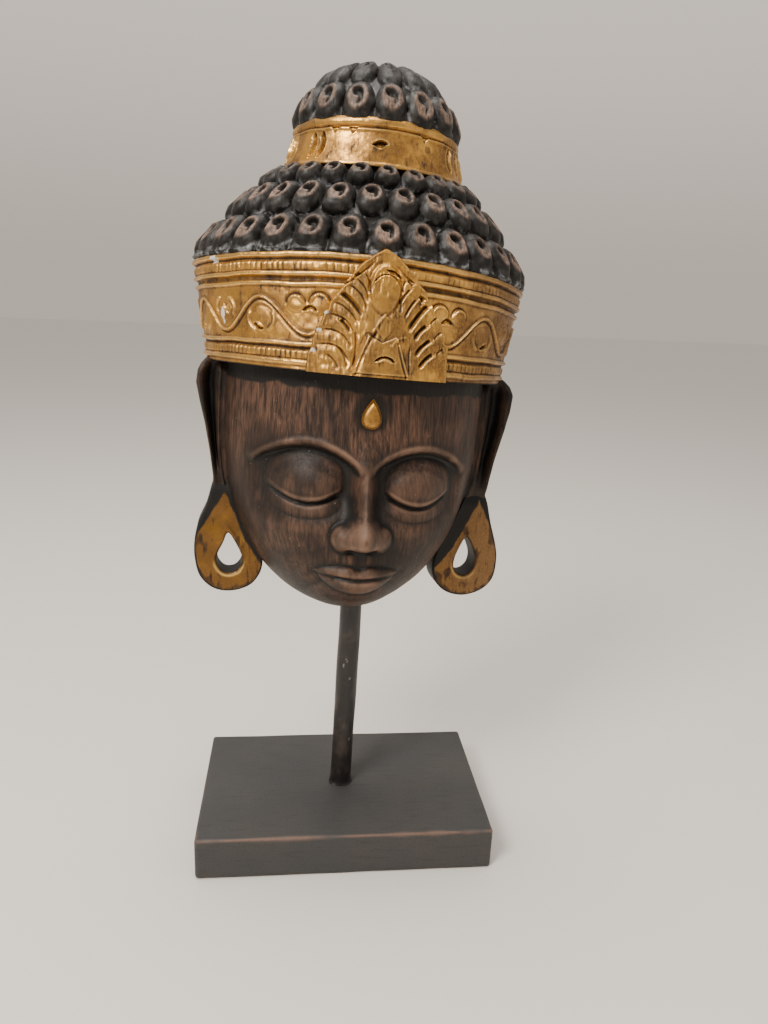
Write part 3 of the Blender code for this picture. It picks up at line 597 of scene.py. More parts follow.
def hair_paint():
    """Black paint with brown wood on the rubbed curls and grey dust in the seams."""
    f = sizes("finishes")
    material, tree = new_material("black hair paint", f.black)
    fine = along_grain(tree, 0.16).noise(900.0, 3.0, 0.6)
    spots = place_on_piece(tree).noise(210.0)
    grey = spots.ranged(0.36, 0.74).mixed(f.black, (0.040, 0.036, 0.033))
    brown = fine.ranged(0.30, 0.66).mixed(f.curl_brown, (0.110, 0.066, 0.047))
    rub = attribute(tree, "rub") * spots.ranged(0.26, 0.54, 0.30, 1.0)
    dust = attribute(tree, "dust") * spots.ranged(0.45, 0.62)
    rough = rub.blended(fine.ranged(0.3, 0.7, 0.36, 0.52), 0.52)
    base, rough = raw_back(tree, dust.mixed(rub.mixed(grey, brown), f.dust), rough)
    return paint(material, Base_Color=base, Roughness=rough, Specular_IOR_Level=0.25, Normal=fine.bump(0.60))


def gold_paint(name, smudges, thinned=0.44, tone=1.0):
    """Gold paint: a painted highlight of pale gold on the ridges, brown stain and painted shade in the cuts, rubbed
    thin in patches, with white chips.

    Streaks of brown lie between the two smudge levels of a noise, the paint is thin above another,
    and the tone makes all of it darker. To the viewer's right it is painted darker, browner and less metallic, as
    painted shade.
    """
    f = sizes("finishes")
    material, tree = new_material(name, f.gold)
    plain = place_on_piece(tree)
    speck, cloud = plain.noise(900.0, 3.0, 0.65), plain.noise(62.0, 4.0, 0.6)
    smear = along_grain(tree, 0.25).noise(420.0, 4.0, 0.6)
    ridge, low, dark, chip, back = (attribute(tree, key) for key in ("high", "low", "dark", "chip", "back"))
    # Painted shade: towards the viewer's right the gold turns darker, browner, thinner and less metallic.
    right = plain.axis("X").ranged(0.030, 0.095)
    thin = (cloud + right * 0.10).ranged(thinned, thinned + 0.20) * speck.ranged(0.30, 0.60, 0.60, 1.0)
    painted_shade_right = right * 0.70
    base = painted_shade_right.mixed([tone * level for level in f.gold], (0.31, 0.205, 0.115))
    base = (thin * 0.85).mixed(base, f.gold_worn)
    # Painted highlight: pale bright gold on the ridges of the carving.
    base = (ridge * (0.75 - painted_shade_right)).mixed(base, (0.95, 0.60, 0.19))
    worn = smear.ranged(*smudges) * cloud.ranged(0.40, 0.60, 0.3, 1.0)
    # The brown in the cuts is brown stain and painted shade; the smudges are brown stain.
    cuts = (low + worn) * (1.0 - ridge)
    base = chip.mixed(dark.mixed(cuts.mixed(base, f.gold_dark), f.black), f.chip)
    bare = cuts | dark | chip | back
    rough = thin.blended(speck.ranged(0.3, 0.7, 0.27, 0.40), 0.50) - ridge * 0.12
    base, rough = raw_back(tree, base, bare.blended(rough, 0.58))
    return paint(material, Base_Color=base, Metallic=bare.blended(0.90 - painted_shade_right * 0.45, 0.0), Roughness=rough,
                 Specular_IOR_Level=0.30, Normal=(speck * 0.5 + smear * 0.5).bump(0.40))


def block_paint():
    """Black-grey paint with faint grain along the block, and wood on the rubbed edges."""
    f = sizes("finishes")
    material, tree = new_material("black-grey block paint", f.block)
    plain = place_on_piece(tree)
    lines = place_on_piece(tree, (0.10, 1.0, 1.0)).noise(520.0, 4.0, 0.6)
    cloud, speck = plain.noise(26.0), plain.noise(1300.0, 2.0)
    brown = attribute(tree, "edge") * cloud.ranged(0.34, 0.56) * speck.ranged(0.25, 0.55, 0.4, 1.0)
    base = cloud.ranged(0.38, 0.70).mixed(f.block, (0.056, 0.052, 0.048))
    for factor, tint in (
        (lines.ranged(0.50, 0.74) * 0.38, (0.024, 0.023, 0.022)),
        (speck.ranged(0.46, 0.64) * 0.30, (0.026, 0.024, 0.023)),
        (brown * 0.75, (0.195, 0.112, 0.080)),
        (attribute(tree, "stain"), (0.095, 0.060, 0.047)),
    ):
        base = factor.mixed(base, tint)
    return paint(material, Base_Color=base, Roughness=speck.ranged(0.3, 0.7, 0.50, 0.66),
                 Specular_IOR_Level=0.35, Normal=lines.bump(0.30, 0.0003))


def rod_paint():
    """Satin black paint with faint brown showing through and a few pale scratches."""
    f = sizes("finishes")
    material, tree = new_material("black rod paint", f.black)
    lines = place_on_piece(tree, (1.0, 1.0, 0.12)).noise(700.0)
    base = place_on_piece(tree).noise(90.0).ranged(0.45, 0.70).mixed(f.black, (0.036, 0.024, 0.020))
    base = attribute(tree, "scratch").mixed(base, (0.20, 0.19, 0.185))
    return paint(material, Base_Color=base, Roughness=lines.ranged(0.3, 0.7, 0.34, 0.50), Normal=lines.bump(0.35))


def face_levels():
    """Heights on the face that follow from the plan of thirds, and the width of an eye."""
    face = sizes("face_sizes")
    third = (face.height + face.hairline) / 3
    brow = face.hairline - third
    nose = brow - third
    eye_width = 2 * face.half_width / 5
    return {"third": third, "brow": brow, "nose": nose, "mouth": nose - third / 3,
            "eye": brow - 0.42 * third, "eye_width": eye_width, "mouth_half": 0.76 * eye_width}


def face_outline(z):
    """Half width and depth of the head's egg: each falls off as a root of 1 minus a power of the drop."""
    face = sizes("face_sizes")
    s = np.clip((-face.widest - z) / (face.height - face.widest), 0, 1)
    return face.half_width * (1 - s**2.3) ** 0.53, face.depth * (1 - s**5) ** 0.5


def nose_relief(x, z, at):
    """A straight bridge that grows as a power of the drop, a round tip, two soft wings with the
    creases behind them, and the nostrils below."""
    rise, third, eye = sizes("face_sizes").nose_rise, at["third"], at["eye_width"]
    t = np.clip((at["brow"] - z) / (at["brow"] - at["nose"]), 0, 1.15)
    height = (0.16 + 0.80 * t**1.3) * smooth((1.035 - t) / 0.13)
    width = eye * (0.17 + 0.11 * smooth((t - 0.45) / 0.5))
    root = smooth((at["brow"] + 0.25 * third - z) / (0.36 * third))
    bridge = height * bell(x / width, 2.2) * root
    tip = 0.84 * swell(x / (0.38 * eye), (z - at["nose"] - 0.20 * third) / (0.235 * third), 1.1)
    across = (np.abs(x) - 0.28 * eye) / (0.27 * eye)
    up = (z - at["nose"] - 0.135 * third) / (0.175 * third)
    wings = 0.50 * swell(across, up, 0.9)
    body = ((bridge**3 + tip**3 + wings**3) ** (1 / 3))
    crease = bell((np.hypot(across, up) - 1.03) / 0.14) * smooth((across + 0.1) / 0.4) * smooth(up + 0.8)
    nostril = bell((np.abs(x) - 0.20 * eye) / (0.085 * eye)) * bell((z - at["nose"]) / (0.032 * third))
    return rise * (np.minimum(body, 1.0) - 0.022 * crease - 0.14 * nostril)


def beside_eye(x, at):
    """Sideways place against the middle of the nearer eye, in eye widths."""
    return (np.abs(x) - at["eye_width"]) / at["eye_width"]


def brow_curve(x, at):
    """The arch of each brow over its own level, a parabola held from dropping too far."""
    return np.maximum(0.006 - 0.014 * beside_eye(x, at) ** 2, -0.005)


def lid_curve(x, at):
    """The curve of a lowered lid's edge, a parabola, lowest in the middle."""
    return 0.0055 * np.minimum((beside_eye(x, at) / 0.56) ** 2, 1.3) - 0.004


def eyes_relief(x, z, at):
    """Arched brows over sunk sockets, each with a full lowered lid that ends at its lash line, and a slim
    lower lid below it."""
    face, third = sizes("face_sizes"), at["third"]
    side = beside_eye(x, at)
    over = (at["brow"] + brow_curve(x, at) - z) / third
    under = (z - at["eye"]) / third
    basin = smooth(over / 0.11) * smooth((under + 0.42) / 0.42) * smooth((1.08 - np.abs(side)) / 0.45)
    brow = bell((over + 0.010) / 0.032) * smooth((1.02 - np.abs(side)) / 0.35)
    above_slit = z - at["eye"] - lid_curve(x, at)
    lid = swell(side / 0.70, (under - 0.10) / 0.35, 1.1) * smooth((above_slit + 0.0042) / 0.0048)
    low_lid = 0.40 * swell(side / 0.62, (under + 0.11) / 0.17, 1.1)
    in_eye = smooth((0.66 - np.abs(side)) / 0.16)
    rim = bell((above_slit - 0.0010) / 0.0010)
    slit = bell((above_slit + 0.0022) / 0.0011)
    fold = z - at["eye"] - 0.0160 * (1 - (side / 0.80) ** 2) + 0.0004
    crease = bell(fold / 0.0024) * smooth((0.62 - np.abs(side)) / 0.25)
    lines = 0.0004 * rim - 0.0016 * slit
    return (face.lid_rise * blend(lid, low_lid) - face.socket_sink * basin + 0.0009 * brow
            + lines * in_eye - 0.0004 * crease)


def lip_curve(x, at):
    """The parting of the lips, turned up a little to the corners."""
    return 0.0026 * np.minimum(np.abs(x) / at["mouth_half"], 1.2) ** 1.8


def mouth_relief(x, z, at):
    """Two full lips on a soft mound: each a root of 1 minus the square of its height, narrowing to the
    corners, with a groove where they part, a bow above and a dip below."""
    rise, half, third = sizes("face_sizes").lip_rise, at["mouth_half"], at["third"]
    above = (z - at["mouth"] - lip_curve(x, at)) / third
    full = np.clip(1 - (x / half) ** 2, 0.001, 1) ** 0.6
    low_full = np.clip(1 - (x / (0.90 * half)) ** 2, 0.001, 1) ** 0.6
    bow = 0.150 * full * (1 - 0.22 * bell(x / 0.0034))
    upper = full * np.clip(1 - (above / bow) ** 2, 0, 1) ** 0.8 * (above >= 0)
    lower = low_full * np.clip(1 - (above / (0.190 * low_full)) ** 2, 0, 1) ** 0.8 * (above < 0)
    parting = bell(above / 0.026) * full
    mound = swell(x / (1.05 * at["eye_width"]), (z - at["mouth"]) / (0.42 * third), 1.2)
    high = (z - at["nose"]) / third
    hollow = bell(x / 0.0030) * bell((high + 0.11) / 0.11)
    walls = bell((np.abs(x) - 0.0048) / 0.0016) * bell((high + 0.12) / 0.09)
    corner = bell((np.abs(x) - half * 1.02) / 0.0034) * bell(above / 0.07)
    dip = bell(x / 0.015) * bell((above + 0.29) / 0.075)
    lips = rise * (upper + lower + 0.55 * mound - 0.42 * parting)
    return lips - 0.0012 * hollow + 0.0005 * walls - 0.0006 * corner - 0.0011 * dip


def face_relief(x, z):
    """How far the features stand out of the egg shape, to the front."""
    face, at = sizes("face_sizes"), face_levels()
    third, eye = at["third"], at["eye_width"]
    across = (np.abs(x) - 1.2 * eye) / (1.05 * eye)
    cheeks = face.cheek_rise * swell(across, (z - at["nose"] - 0.20 * third) / (0.80 * third), 1.2)
    chin = face.chin_rise * swell(x / (0.80 * eye), (z + face.height - 0.37 * third) / (0.33 * third), 1)
    bed = 0.0012 * bell(x / 0.0090) * bell((z + face.mark_below) / 0.0110)
    return nose_relief(x, z, at) + eyes_relief(x, z, at) + mouth_relief(x, z, at) + cheeks + chin - bed


def face_surface():
    """The face from the chin to the crown band, rows close together at the chin's round."""
    face = sizes("face_sizes")
    angle = spread(316, 0.60)[None, :]
    near_chin = -face.height + 0.008 * np.linspace(0, 1, 25)[1:] ** 2
    level = np.concatenate([near_chin, np.linspace(-face.height + 0.008, 0, 214)[1:]])[:, None]
    points = half_section(angle, *face_outline(level), level)
    x, z = points[..., 0], points[..., 2]
    relief = face_relief(x, z)
    tool = 0.00016 * value_noise(x, z * 0.35, 0.0035, 11) + 0.00022 * value_noise(x, z, 0.011, 12)
    points[..., 1] -= (relief + tool) * smooth(np.cos(angle) / 0.35)
    points[:, [0, -1], 1] = 0
    # low: the hollows of the carving, for black stain and painted shade.
    low, high = hollows_and_edges(relief, 60, 0.0015)
    cut, crest = hollows_and_edges(relief, 8, 0.00022)
    low, high = np.clip(low + 0.8 * cut, 0, 1), np.clip(0.8 * high + 0.5 * crest, 0, 1)
    ragged = 0.0016 * value_noise(x, z * 0.3, 0.008, 13) + 0.0007 * value_noise(x, z * 0.2, 0.0022, 14)
    # Black under the crown band: black paint, and a painted shadow of the band's overhang.
    paint_and_shadow_under_band = smooth((z + 0.0085 + ragged) / 0.0014)
    round_drop = smooth((1.25 - np.hypot(x / 0.0085, (z + face.mark_below) / 0.0105) + 90 * ragged) / 0.45)
    # The temples and the lower jaw are made darker as well.
    temples = smooth((np.abs(np.sin(angle)) - 0.90) / 0.08) + 0 * z
    jaw = smooth((-face.height + 0.030 - z) / 0.02) * 0.7
    low = np.clip(low * 1.15 + paint_and_shadow_under_band + 0.85 * round_drop + temples * 0.8 + jaw * 0.5, 0, 1)
    light = smooth((z + 0.045) / 0.02) * (1 - paint_and_shadow_under_band) + 0.3 * bell(x / 0.012)
    return points, {"low": low, "high": high, "light": np.clip(light, 0, 1)}


def drop_outline(angle):
    """The drop's edge in its own plane, 1 unit to the bottom and the top: round below, pointed above."""
    x = np.sin(angle) * np.sin(np.abs(angle) / 2) ** 1.1
    return x, -np.cos(angle)


def brow_drop():
    """The gold drop between the brows: rings from its edge to its middle, rising as a dome."""
    face = sizes("face_sizes")
    angle = np.linspace(-math.pi, math.pi, 97)[:-1][None, :]
    share = np.concatenate([[1.04, 1.04], np.linspace(1, 0.03, 22)])[:, None]
    edge_x, edge_z = drop_outline(math.pi - np.abs(angle))
    x = np.sign(angle) * np.abs(edge_x) * share * face.mark_width / 2 * 1.12
    z = -face.mark_below - edge_z * share * face.mark_height / 2
    width, depth = face_outline(z)
    ground = -depth * np.sqrt(1 - (x / width) ** 2) - face_relief(x, z)
    rise = face.mark_rise * np.clip(1 - share**3.2, 0, 1) ** 0.6
    rise = rise + np.where(np.arange(len(share))[:, None] == 0, -0.003, 0)
    y = ground - rise - 0.0005
    return np.stack([x, y, np.broadcast_to(z, x.shape)], axis=-1)


def moulding(share, u):
    """Profile of the crown band up its height, in millimetres: ridges, grooves and two beaded ropes."""
    pitch = sizes("crown_sizes").bead_pitch / MM
    relief = -0.35 + 0 * u
    for middle, half, rise in ((0.064, 0.024, 1.55), (0.226, 0.019, 1.45), (0.727, 0.019, 1.35),
                               (0.812, 0.019, 1.5), (0.973, 0.022, 1.2)):
        relief += rise * bell((share - middle) / half, 4)
    for middle, half, sink in ((0.190, 0.012, 0.7), (0.768, 0.018, 0.8), (0.934, 0.012, 0.8)):
        relief -= sink * bell((share - middle) / half)
    place = u / pitch + 0.22 * value_noise(u, 0 * u, 9.0, 21)
    cut = bell((place - np.floor(place) - 0.5) / 0.13)
    for middle, seed in ((0.135, 22), (0.876, 23)):
        depth = 0.42 + 0.34 * value_noise(u, 0 * u, 5.0, seed)
        relief += bell((share - middle) / 0.036, 6) * (0.75 - depth * cut)
    return relief


def scroll_height(angle):
    """Height of the running scroll's line, in millimetres over its own middle: minus a cosine."""
    crown = sizes("crown_sizes")
    return -crown.wave_rise / MM * np.cos(2 * math.pi * (np.abs(angle) - crown.wave_start) / crown.wave_period)


def scroll_field(angle, z):
    """The scroll with its flowers between the ropes, in millimetres: a raised line beside a groove,
    round flowers with a gouge's crescent, and three lobes beside the leaf."""
    crown = sizes("crown_sizes")
    size = np.abs(angle)
    u = size * BAND_ARC
    line = 26.6 + scroll_height(angle)
    slope = np.gradient(line, axis=1) / np.maximum(np.abs(np.gradient(u, axis=1)), 1e-6)
    away = (z - line) / np.sqrt(1 + slope**2)
    relief = 1.35 * bell(away / 0.62, 2.2) - 0.60 * bell((away + 1.5) / 0.6) - 0.25 * bell((away - 1.5) / 0.7)
    relief *= smooth((size - crown.wave_start + 0.05) / 0.05)
    half = crown.wave_period / 2
    for index in range(4):
        middle = crown.wave_start + half * (index + 1)
        under = index % 2 == 0
        du, dz = u - middle * BAND_ARC, z - (24.2 if under else 29.4)
        disc = dome(du / 8.2, dz / 6.6)
        ring = bell((np.hypot(du / 8.2, dz / 6.6) - 1.0) / 0.13)
        lean = np.degrees(np.arctan2(np.abs(du), -dz if under else dz))
        arcs = ring * smooth((lean - 25) / 12) * smooth((125 - lean) / 20)
        relief += 0.42 * disc - 0.25 * ring + 1.1 * arcs - 0.5 * bell((lean - 75) / 50) * bell(
            (np.hypot(du / 8.2, dz / 6.6) - 0.80) / 0.10)
        relief += thumb_cut(du, dz, (0.6, -1.0), 4.2, 2.4, 155 if under else -60, 62, 2.2)
    for middle, radius in ((27.4, 4.9), (19.6, 5.6)):
        du, dz = u - math.radians(middle) * BAND_ARC, z - 33.0
        disc = dome(du / radius, dz / radius)
        ring = bell((np.hypot(du, dz) - radius) / 0.75) * smooth((dz + 2.0) / 3.0)
        relief += 0.9 * disc - 0.8 * ring
        relief += 0.8 * bell((np.hypot(du, dz) - radius + 1.5) / 0.55) * smooth((dz + 0.5) / 2.0)
    du = u - math.radians(22.8) * BAND_ARC
    relief += thumb_cut(du, z - 27.5, (0, 0), 4.4, 2.0, 0, 75)
    return relief


def crown_surface():
    """The crown band: mouldings and ropes above and below, the running scroll between them."""
    crown = sizes("crown_sizes")
    angle = spread(630, 0.94)[None, :]
    share = np.linspace(0, 1, 125)[:, None]
    width, depth = taper(crown, share)
    tall = crown.height + crown.front_rise * np.cos(angle) ** 2
    points = half_section(angle, width, depth, share * tall)
    u = angle * BAND_ARC + 0 * share
    wobble = share + 0.006 * value_noise(u, share * 60, 14.0, 24)
    z = wobble * BAND_TALL
    field = smooth((wobble - 0.245) / 0.02) * smooth((0.708 - wobble) / 0.02)
    relief = moulding(wobble, u) + field * scroll_field(angle, z)
    relief += 0.16 * value_noise(u, z, 2.6, 25) + 0.22 * value_noise(u, z, 9.0, 26)
    # low and high: the relief's hollows take brown stain and painted shade, its edges a painted highlight.
    low, high = hollows_and_edges(relief, 10, 0.55)
    low = np.clip(low * 1.55 - 0.10, 0, 1)
    chip = spot(u, z, (-93.68, 55.2), (3.6, 1.9), 27)
    chip = np.maximum(chip, spot(u, z, (-90.61, 26.0), (2.0, 4.4), 28))
    # The band's lowest edge is black too: black paint and painted shadow, meeting the strip on the face.
    fields = {"low": low, "high": high, "chip": chip, "dark": smooth((0.018 - share) / 0.012) + 0 * u}
    return raise_relief(points, relief * MM), fields


def spot(u, v, middle, radii, seed):
    """A ragged patch: 1 inside an oval whose edge is shifted by noise, 0 outside."""
    away = np.hypot((u - middle[0]) / radii[0], (v - middle[1]) / radii[1])
    return smooth((1.0 + 0.4 * value_noise(u, v, 1.3, seed) - away) / 0.15)


LEAF_LEFT = ((0, 34.5), (9, 34.4), (10.5, 33.0), (16, 32.2), (22, 30.7), (23.2, 29.0), (29, 27.6),
             (30.2, 26.0), (34, 25.3), (36, 23.8), (41, 20.4), (47, 16.2), (53, 11.9), (57.5, 6.6), (61.4, 0.5))
LEAF_RIGHT = ((0, 34.5), (17.5, 34.2), (19.2, 32.0), (30, 29.3), (31.6, 27.0), (38.5, 23.4), (39.8, 21.9),
              (43.1, 21.0), (45.8, 17.6), (50.3, 15.2), (52.0, 12.6), (57.5, 7.4), (61.4, 0.5))
LEAF_GOUGES = (
    ((7.2, 35.2), (12.4, 43.4), 0.06, 1.2, 1.0), ((9.9, 28.6), (15.8, 38.9), 0.06, 1.2, 1.0),
    ((11.9, 21.7), (22.2, 36.9), 0.05, 2.6, 1.8), ((15.5, 18.6), (21.9, 26.8), 0.09, 2.2, 1.5),
    ((16.1, 10.7), (24.4, 20.0), 0.08, 2.2, 1.5), ((18.7, 5.2), (26.0, 13.4), 0.08, 2.2, 1.5),
    ((-9.6, 27.4), (-20.4, 38.6), -0.07, 2.5, 1.9), ((-15.0, 19.6), (-19.9, 26.2), -0.07, 2.4, 1.8),
    ((-11.6, 49.0), (-14.4, 47.2), 0.0, 1.5, 1.3), ((-16.6, 44.6), (-19.4, 42.8), 0.0, 1.5, 1.3),
    ((10.6, 47.6), (13.4, 45.2), 0.1, 1.6, 1.5), ((16.6, 40.6), (19.4, 38.4), 0.1, 1.6, 1.5),
)
LEAF_LINES = (
    ((-8.2, 31.0), (-17.5, 43.0), -0.16), ((-7.4, 34.5), (-14.0, 46.5), -0.14),
    ((-6.6, 39.0), (-10.0, 49.6), -0.10), ((-11.6, 24.0), (-24.6, 34.4), -0.14),
    ((-12.8, 18.0), (-26.0, 28.4), -0.20), ((-13.8, 12.0), (-29.0, 20.6), -0.22),
    ((-14.8, 5.0), (-31.0, 13.0), -0.26), ((-13.6, 2.5), (-13.4, 24.0), -0.06),
    ((-16.0, 2.5), (-20.5, 13.5), -0.10), ((-19.5, 2.0), (-26.0, 9.5), -0.12),
    ((7.6, 31.0), (6.8, 39.0), -0.12), ((14.6, 1.5), (14.2, 17.5), 0.05), ((23.5, 27.5), (27.5, 31.5), 0.10),
    ((26.0, 20.0), (30.5, 25.0), 0.10), ((27.5, 12.5), (31.5, 16.5), 0.10), ((18.5, 34.0), (19.5, 41.0), 0.12),
    ((-4.5, 55.6), (-20.8, 41.0), 0.02), ((4.8, 55.0), (15.6, 45.8), -0.06), ((8.8, 41.0), (10.4, 48.0), 0.10),
)


def leaf_relief(x, z):
    """Carving of the leaf, in millimetres: a bud above, a lens and a triangle below, and feathers
    fanned to both sides, parted by fine lines and by deep gouges with raised lower lips."""
    relief = 0.9 * dome(x / 34, (z - 22) / 42)
    outer = 14.0 - 0.34 * z
    triangle = smooth((outer - np.abs(x - 0.4)) / 0.7) * smooth((20.2 - 0.5 * np.abs(np.abs(x) - 6.4) - z) / 0.7)
    triangle = triangle * smooth((z - 1.2) / 0.7)
    across, up = (x - 0.3) / 7.4, (z - 42.5) / 12.0
    away = np.hypot(across, up)
    bud = smooth((1.0 - away) / 0.14)
    lens = smooth((1 - (np.abs(z - 24.6) / 6.6) ** 1.5 - np.abs(x - 0.6) / 4.8) / 0.2)
    free = 1 - np.clip(triangle + bud + lens, 0, 1)
    feathers = 0 * x
    for start, end, sag, deep, wide in LEAF_GOUGES:
        distance, side, share = stroke(x, z, bent(start, end, sag))
        below = side * (1 if start[0] > 0 else -1) < 0
        ends = smooth(share / 0.35) * smooth((1 - share) / 0.10)
        feathers -= deep * np.clip(1 - distance / np.where(below, 0.6, 1.0) / wide, 0, 1) * ends
        feathers += 0.6 * bell((distance - 0.85 * wide) / 0.55) * below * smooth(share / 0.2)
        feathers -= 0.35 * bell(distance / 3.0)
    for start, end, sag in LEAF_LINES:
        distance, _, share = stroke(x, z, bent(start, end, sag))
        ends = smooth(share / 0.2) * smooth((1 - share) / 0.2)
        feathers -= (0.75 * bell(distance / 0.45) + 0.45 * bell(distance / 1.6)) * ends
    relief += feathers * free + 1.0 * triangle + 0.5 * lens + 0.6 * bud
    relief += 0.4 * bell((away - 0.84) / 0.08) * smooth(up / 0.4) - 0.5 * bell((away - 1.06) / 0.08)
    relief += thumb_cut(x, z, (1.8, 4.5), 5.9, 2.4, 0, 68, 1.5) * triangle
    relief += thumb_cut(x, z, (0.8, 43.2), 6.3, 1.0, 5, 88, 0.9)
    relief += thumb_cut(x, z, (1.2, 43.4), 8.2, 2.4, 24, 42, 1.9)
    edge = stroke(x, z, bent((-12.6, 2.0), (-6.4, 19.4), 0.02))[0]
    relief += 0.8 * bell(edge / 0.7) - 0.5 * bell((edge - 1.5) / 0.6)
    edge = stroke(x, z, bent((12.6, 1.0), (7.6, 17.0), 0.03))[0]
    relief -= 1.0 * bell(edge / 0.55)
    pit = bell(np.hypot((x + 3.7 - 0.3 * (z - 20)) / 0.9, (z - 19.8) / 2.0))
    line = stroke(x, z, bent((-4.3, 21.6), (1.6, 30.6), 0.05))[0]
    curl = stroke(x, z, bent((4.9, 15.6), (11.4, 20.2), 0.16))[0]
    grain = 0.16 * value_noise(x * 2.4, z * 0.5, 2.0, 33)
    return relief - 1.7 * pit + 0.5 * bell(line / 0.55) + 0.5 * bell(curl / 0.5) + grain


def leaf_surface():
    """The pointed leaf on the crown's front: rows up its height, columns across its outline, closed
    behind inside the band and the hair."""
    crown = sizes("crown_sizes")
    rows, columns, behind = 228, 248, 18
    v = np.linspace(0, 1, rows)
    z = (v * 0.35 + 0.65 * (1 - (1 - v) ** 1.35)) * crown.leaf_height / MM
    left, right = (np.interp(z, *np.array(side).T) for side in (LEAF_LEFT, LEAF_RIGHT))
    t = np.linspace(-1, 1, columns)[None, :]
    t = t * (1 + 0.10 * (1 - t**2))
    x = np.where(t < 0, t * left[:, None], t * right[:, None])
    z = np.broadcast_to(z[:, None], x.shape)
    share = z * MM / (crown.height + crown.front_rise)
    width, depth = taper(crown, share)
    angle = np.arcsin(np.clip(x * MM / width, -1, 1))
    edge = np.minimum((1 - np.abs(t)) * np.where(t < 0, left[:, None], right[:, None]), crown.leaf_height / MM - z)
    rolled = smooth(edge / 0.9)
    carving = leaf_relief(x, z) + 0.16 * value_noise(x, z, 2.2, 31) + 0.2 * value_noise(x, z, 8.0, 32)
    border = 0.55 * bell((edge - 1.2) / 0.7)
    relief = (crown.leaf_rise / MM - 0.9 + (carving + border) * rolled + 0.9 * rolled) * MM
    out = half_section(angle, 1.0, 1.0, 0)
    normal = out / np.linalg.norm(out, axis=-1, keepdims=True)
    front = half_section(angle, width, depth, z * MM) + normal * relief[..., None]
    u = np.linspace(1, -1, behind)[None, :]
    inner_x = np.where(u < 0, u * left[:, None], u * right[:, None]) * 0.93
    inner_angle = np.arcsin(np.clip(inner_x * MM / width[:, :1], -1, 1))
    back = half_section(inner_angle, width[:, :1] - 0.011, depth[:, :1] - 0.011, z[:, :behind] * MM)
    ring = np.concatenate([front, back], axis=1)
    # low and high: the carving's hollows take brown stain and painted shade, its edges a painted highlight.
    low, high = hollows_and_edges(carving, 12, 0.55)
    # Brown patches of stain, over an even darkening of the leaf as painted shade, except at its right edge.
    stain = 0.45 * smooth((value_noise(x, z * 0.6, 6.0, 35) + 0.1) / 0.9) + 0.12
    chip = sum(spot(x, z, place, (1.3, 0.9), 34) for place in ((-26.2, 29.0), (-29.4, 20.2), (-31.6, 10.4)))
    fields = {"low": np.clip(low * 1.5 - 0.10 + stain * (x < 18), 0, 1) * rolled,
              "high": high + 0.4 * border, "chip": chip, "dark": 0 * x, "back": 0 * x}
    none = np.zeros(back.shape[:2])
    return ring, {name: np.concatenate([np.clip(f, 0, 1), none], axis=1) for name, f in fields.items()}


def curl_field(angle, height, rows, seed):
    """Rows of carved curls: relief from 0 to 1, rubbed wood and dust, each from 0 to 1.

    Each row is (count, share set aside, lower edge, upper edge, half width and half height of a curl in
    millimetres, how rubbed). A curl is a flat button, the root of 1 minus the cube of the way out from
    its middle. A comma is cut into it: an arc at 0.36 of its radius, deep at the top, shallow below.
    """
    shape = np.broadcast(angle, height).shape
    relief, rub, dust = np.zeros(shape), np.zeros(shape), np.zeros(shape)
    random = np.random.default_rng(seed)
    for count, aside, low, high, half_width, half_height, rubbed in rows:
        place = (angle / math.pi + 0.5) * count + aside + 0 * height
        index = np.clip(np.floor(place).astype(int), 0, count)
        lean, lift, size, wear = random.uniform(-1, 1, (4, count + 1))
        across = 2 * (place - np.floor(place)) - 1
        up = 2 * (height - low) / (high - low) - 1 + 0 * angle - 0.05 * lift[index]
        out = (np.abs(across / 0.99) ** 2.3 + np.abs(up / 0.97) ** 2.3) ** (1 / 2.3)
        body = np.clip(1 - out**3, 0, 1) ** 0.5
        radius = min(half_width, half_height)
        dx, dz = across * half_width / radius, (up - 0.06) * half_height / radius
        dx, dz = dx + 0.14 * lean[index] * dz, dz - 0.14 * lean[index] * dx
        r = np.hypot(dx, dz) * (1 + 0.07 * size[index])
        arm = np.hypot(dx + 0.15, dz + 0.10)
        theta = np.degrees(np.arctan2(dz + 0.10, dx + 0.15)) - 12 * lean[index]
        along = (118 - theta) / 180
        depth = smooth((along + 0.06) / 0.16) * smooth((1.02 - along) / 0.30)
        comma = bell((arm - 0.36) / np.clip(0.165 - 0.095 * along, 0.055, 0.165), 2.4) * depth
        head = bell(np.hypot((dx + 0.02 - 0.08 * lean[index]) / 1.40, dz - 0.20) / 0.21, 3.0)
        cut = np.clip(0.60 * comma + 0.95 * head, 0, 1.2)
        rim = bell((r - 0.57) / 0.11)
        whole = body * (1 + 0.06 * rim) - 0.46 * cut
        relief = np.maximum(relief, whole)
        edge = 0.71 + 0.06 * value_noise(across + 3 * index, up, 0.30, seed + 1)
        worn = smooth((edge - r) / 0.20) * (1 - smooth(cut / 0.34)) * (0.80 + 0.20 * wear[index])
        worn = worn * (1 - 0.5 * smooth((-dz - 0.48) / 0.2) * (0.5 + 0.5 * lift[index])) * rubbed
        rub = np.maximum(rub, worn)
        seam = bell((out - 1.02) / 0.07) * smooth((wear[index] + 0.55) / 0.8)
        dust = np.maximum(dust, seam * (np.abs(up) < 1.1))
    return relief, rub, dust


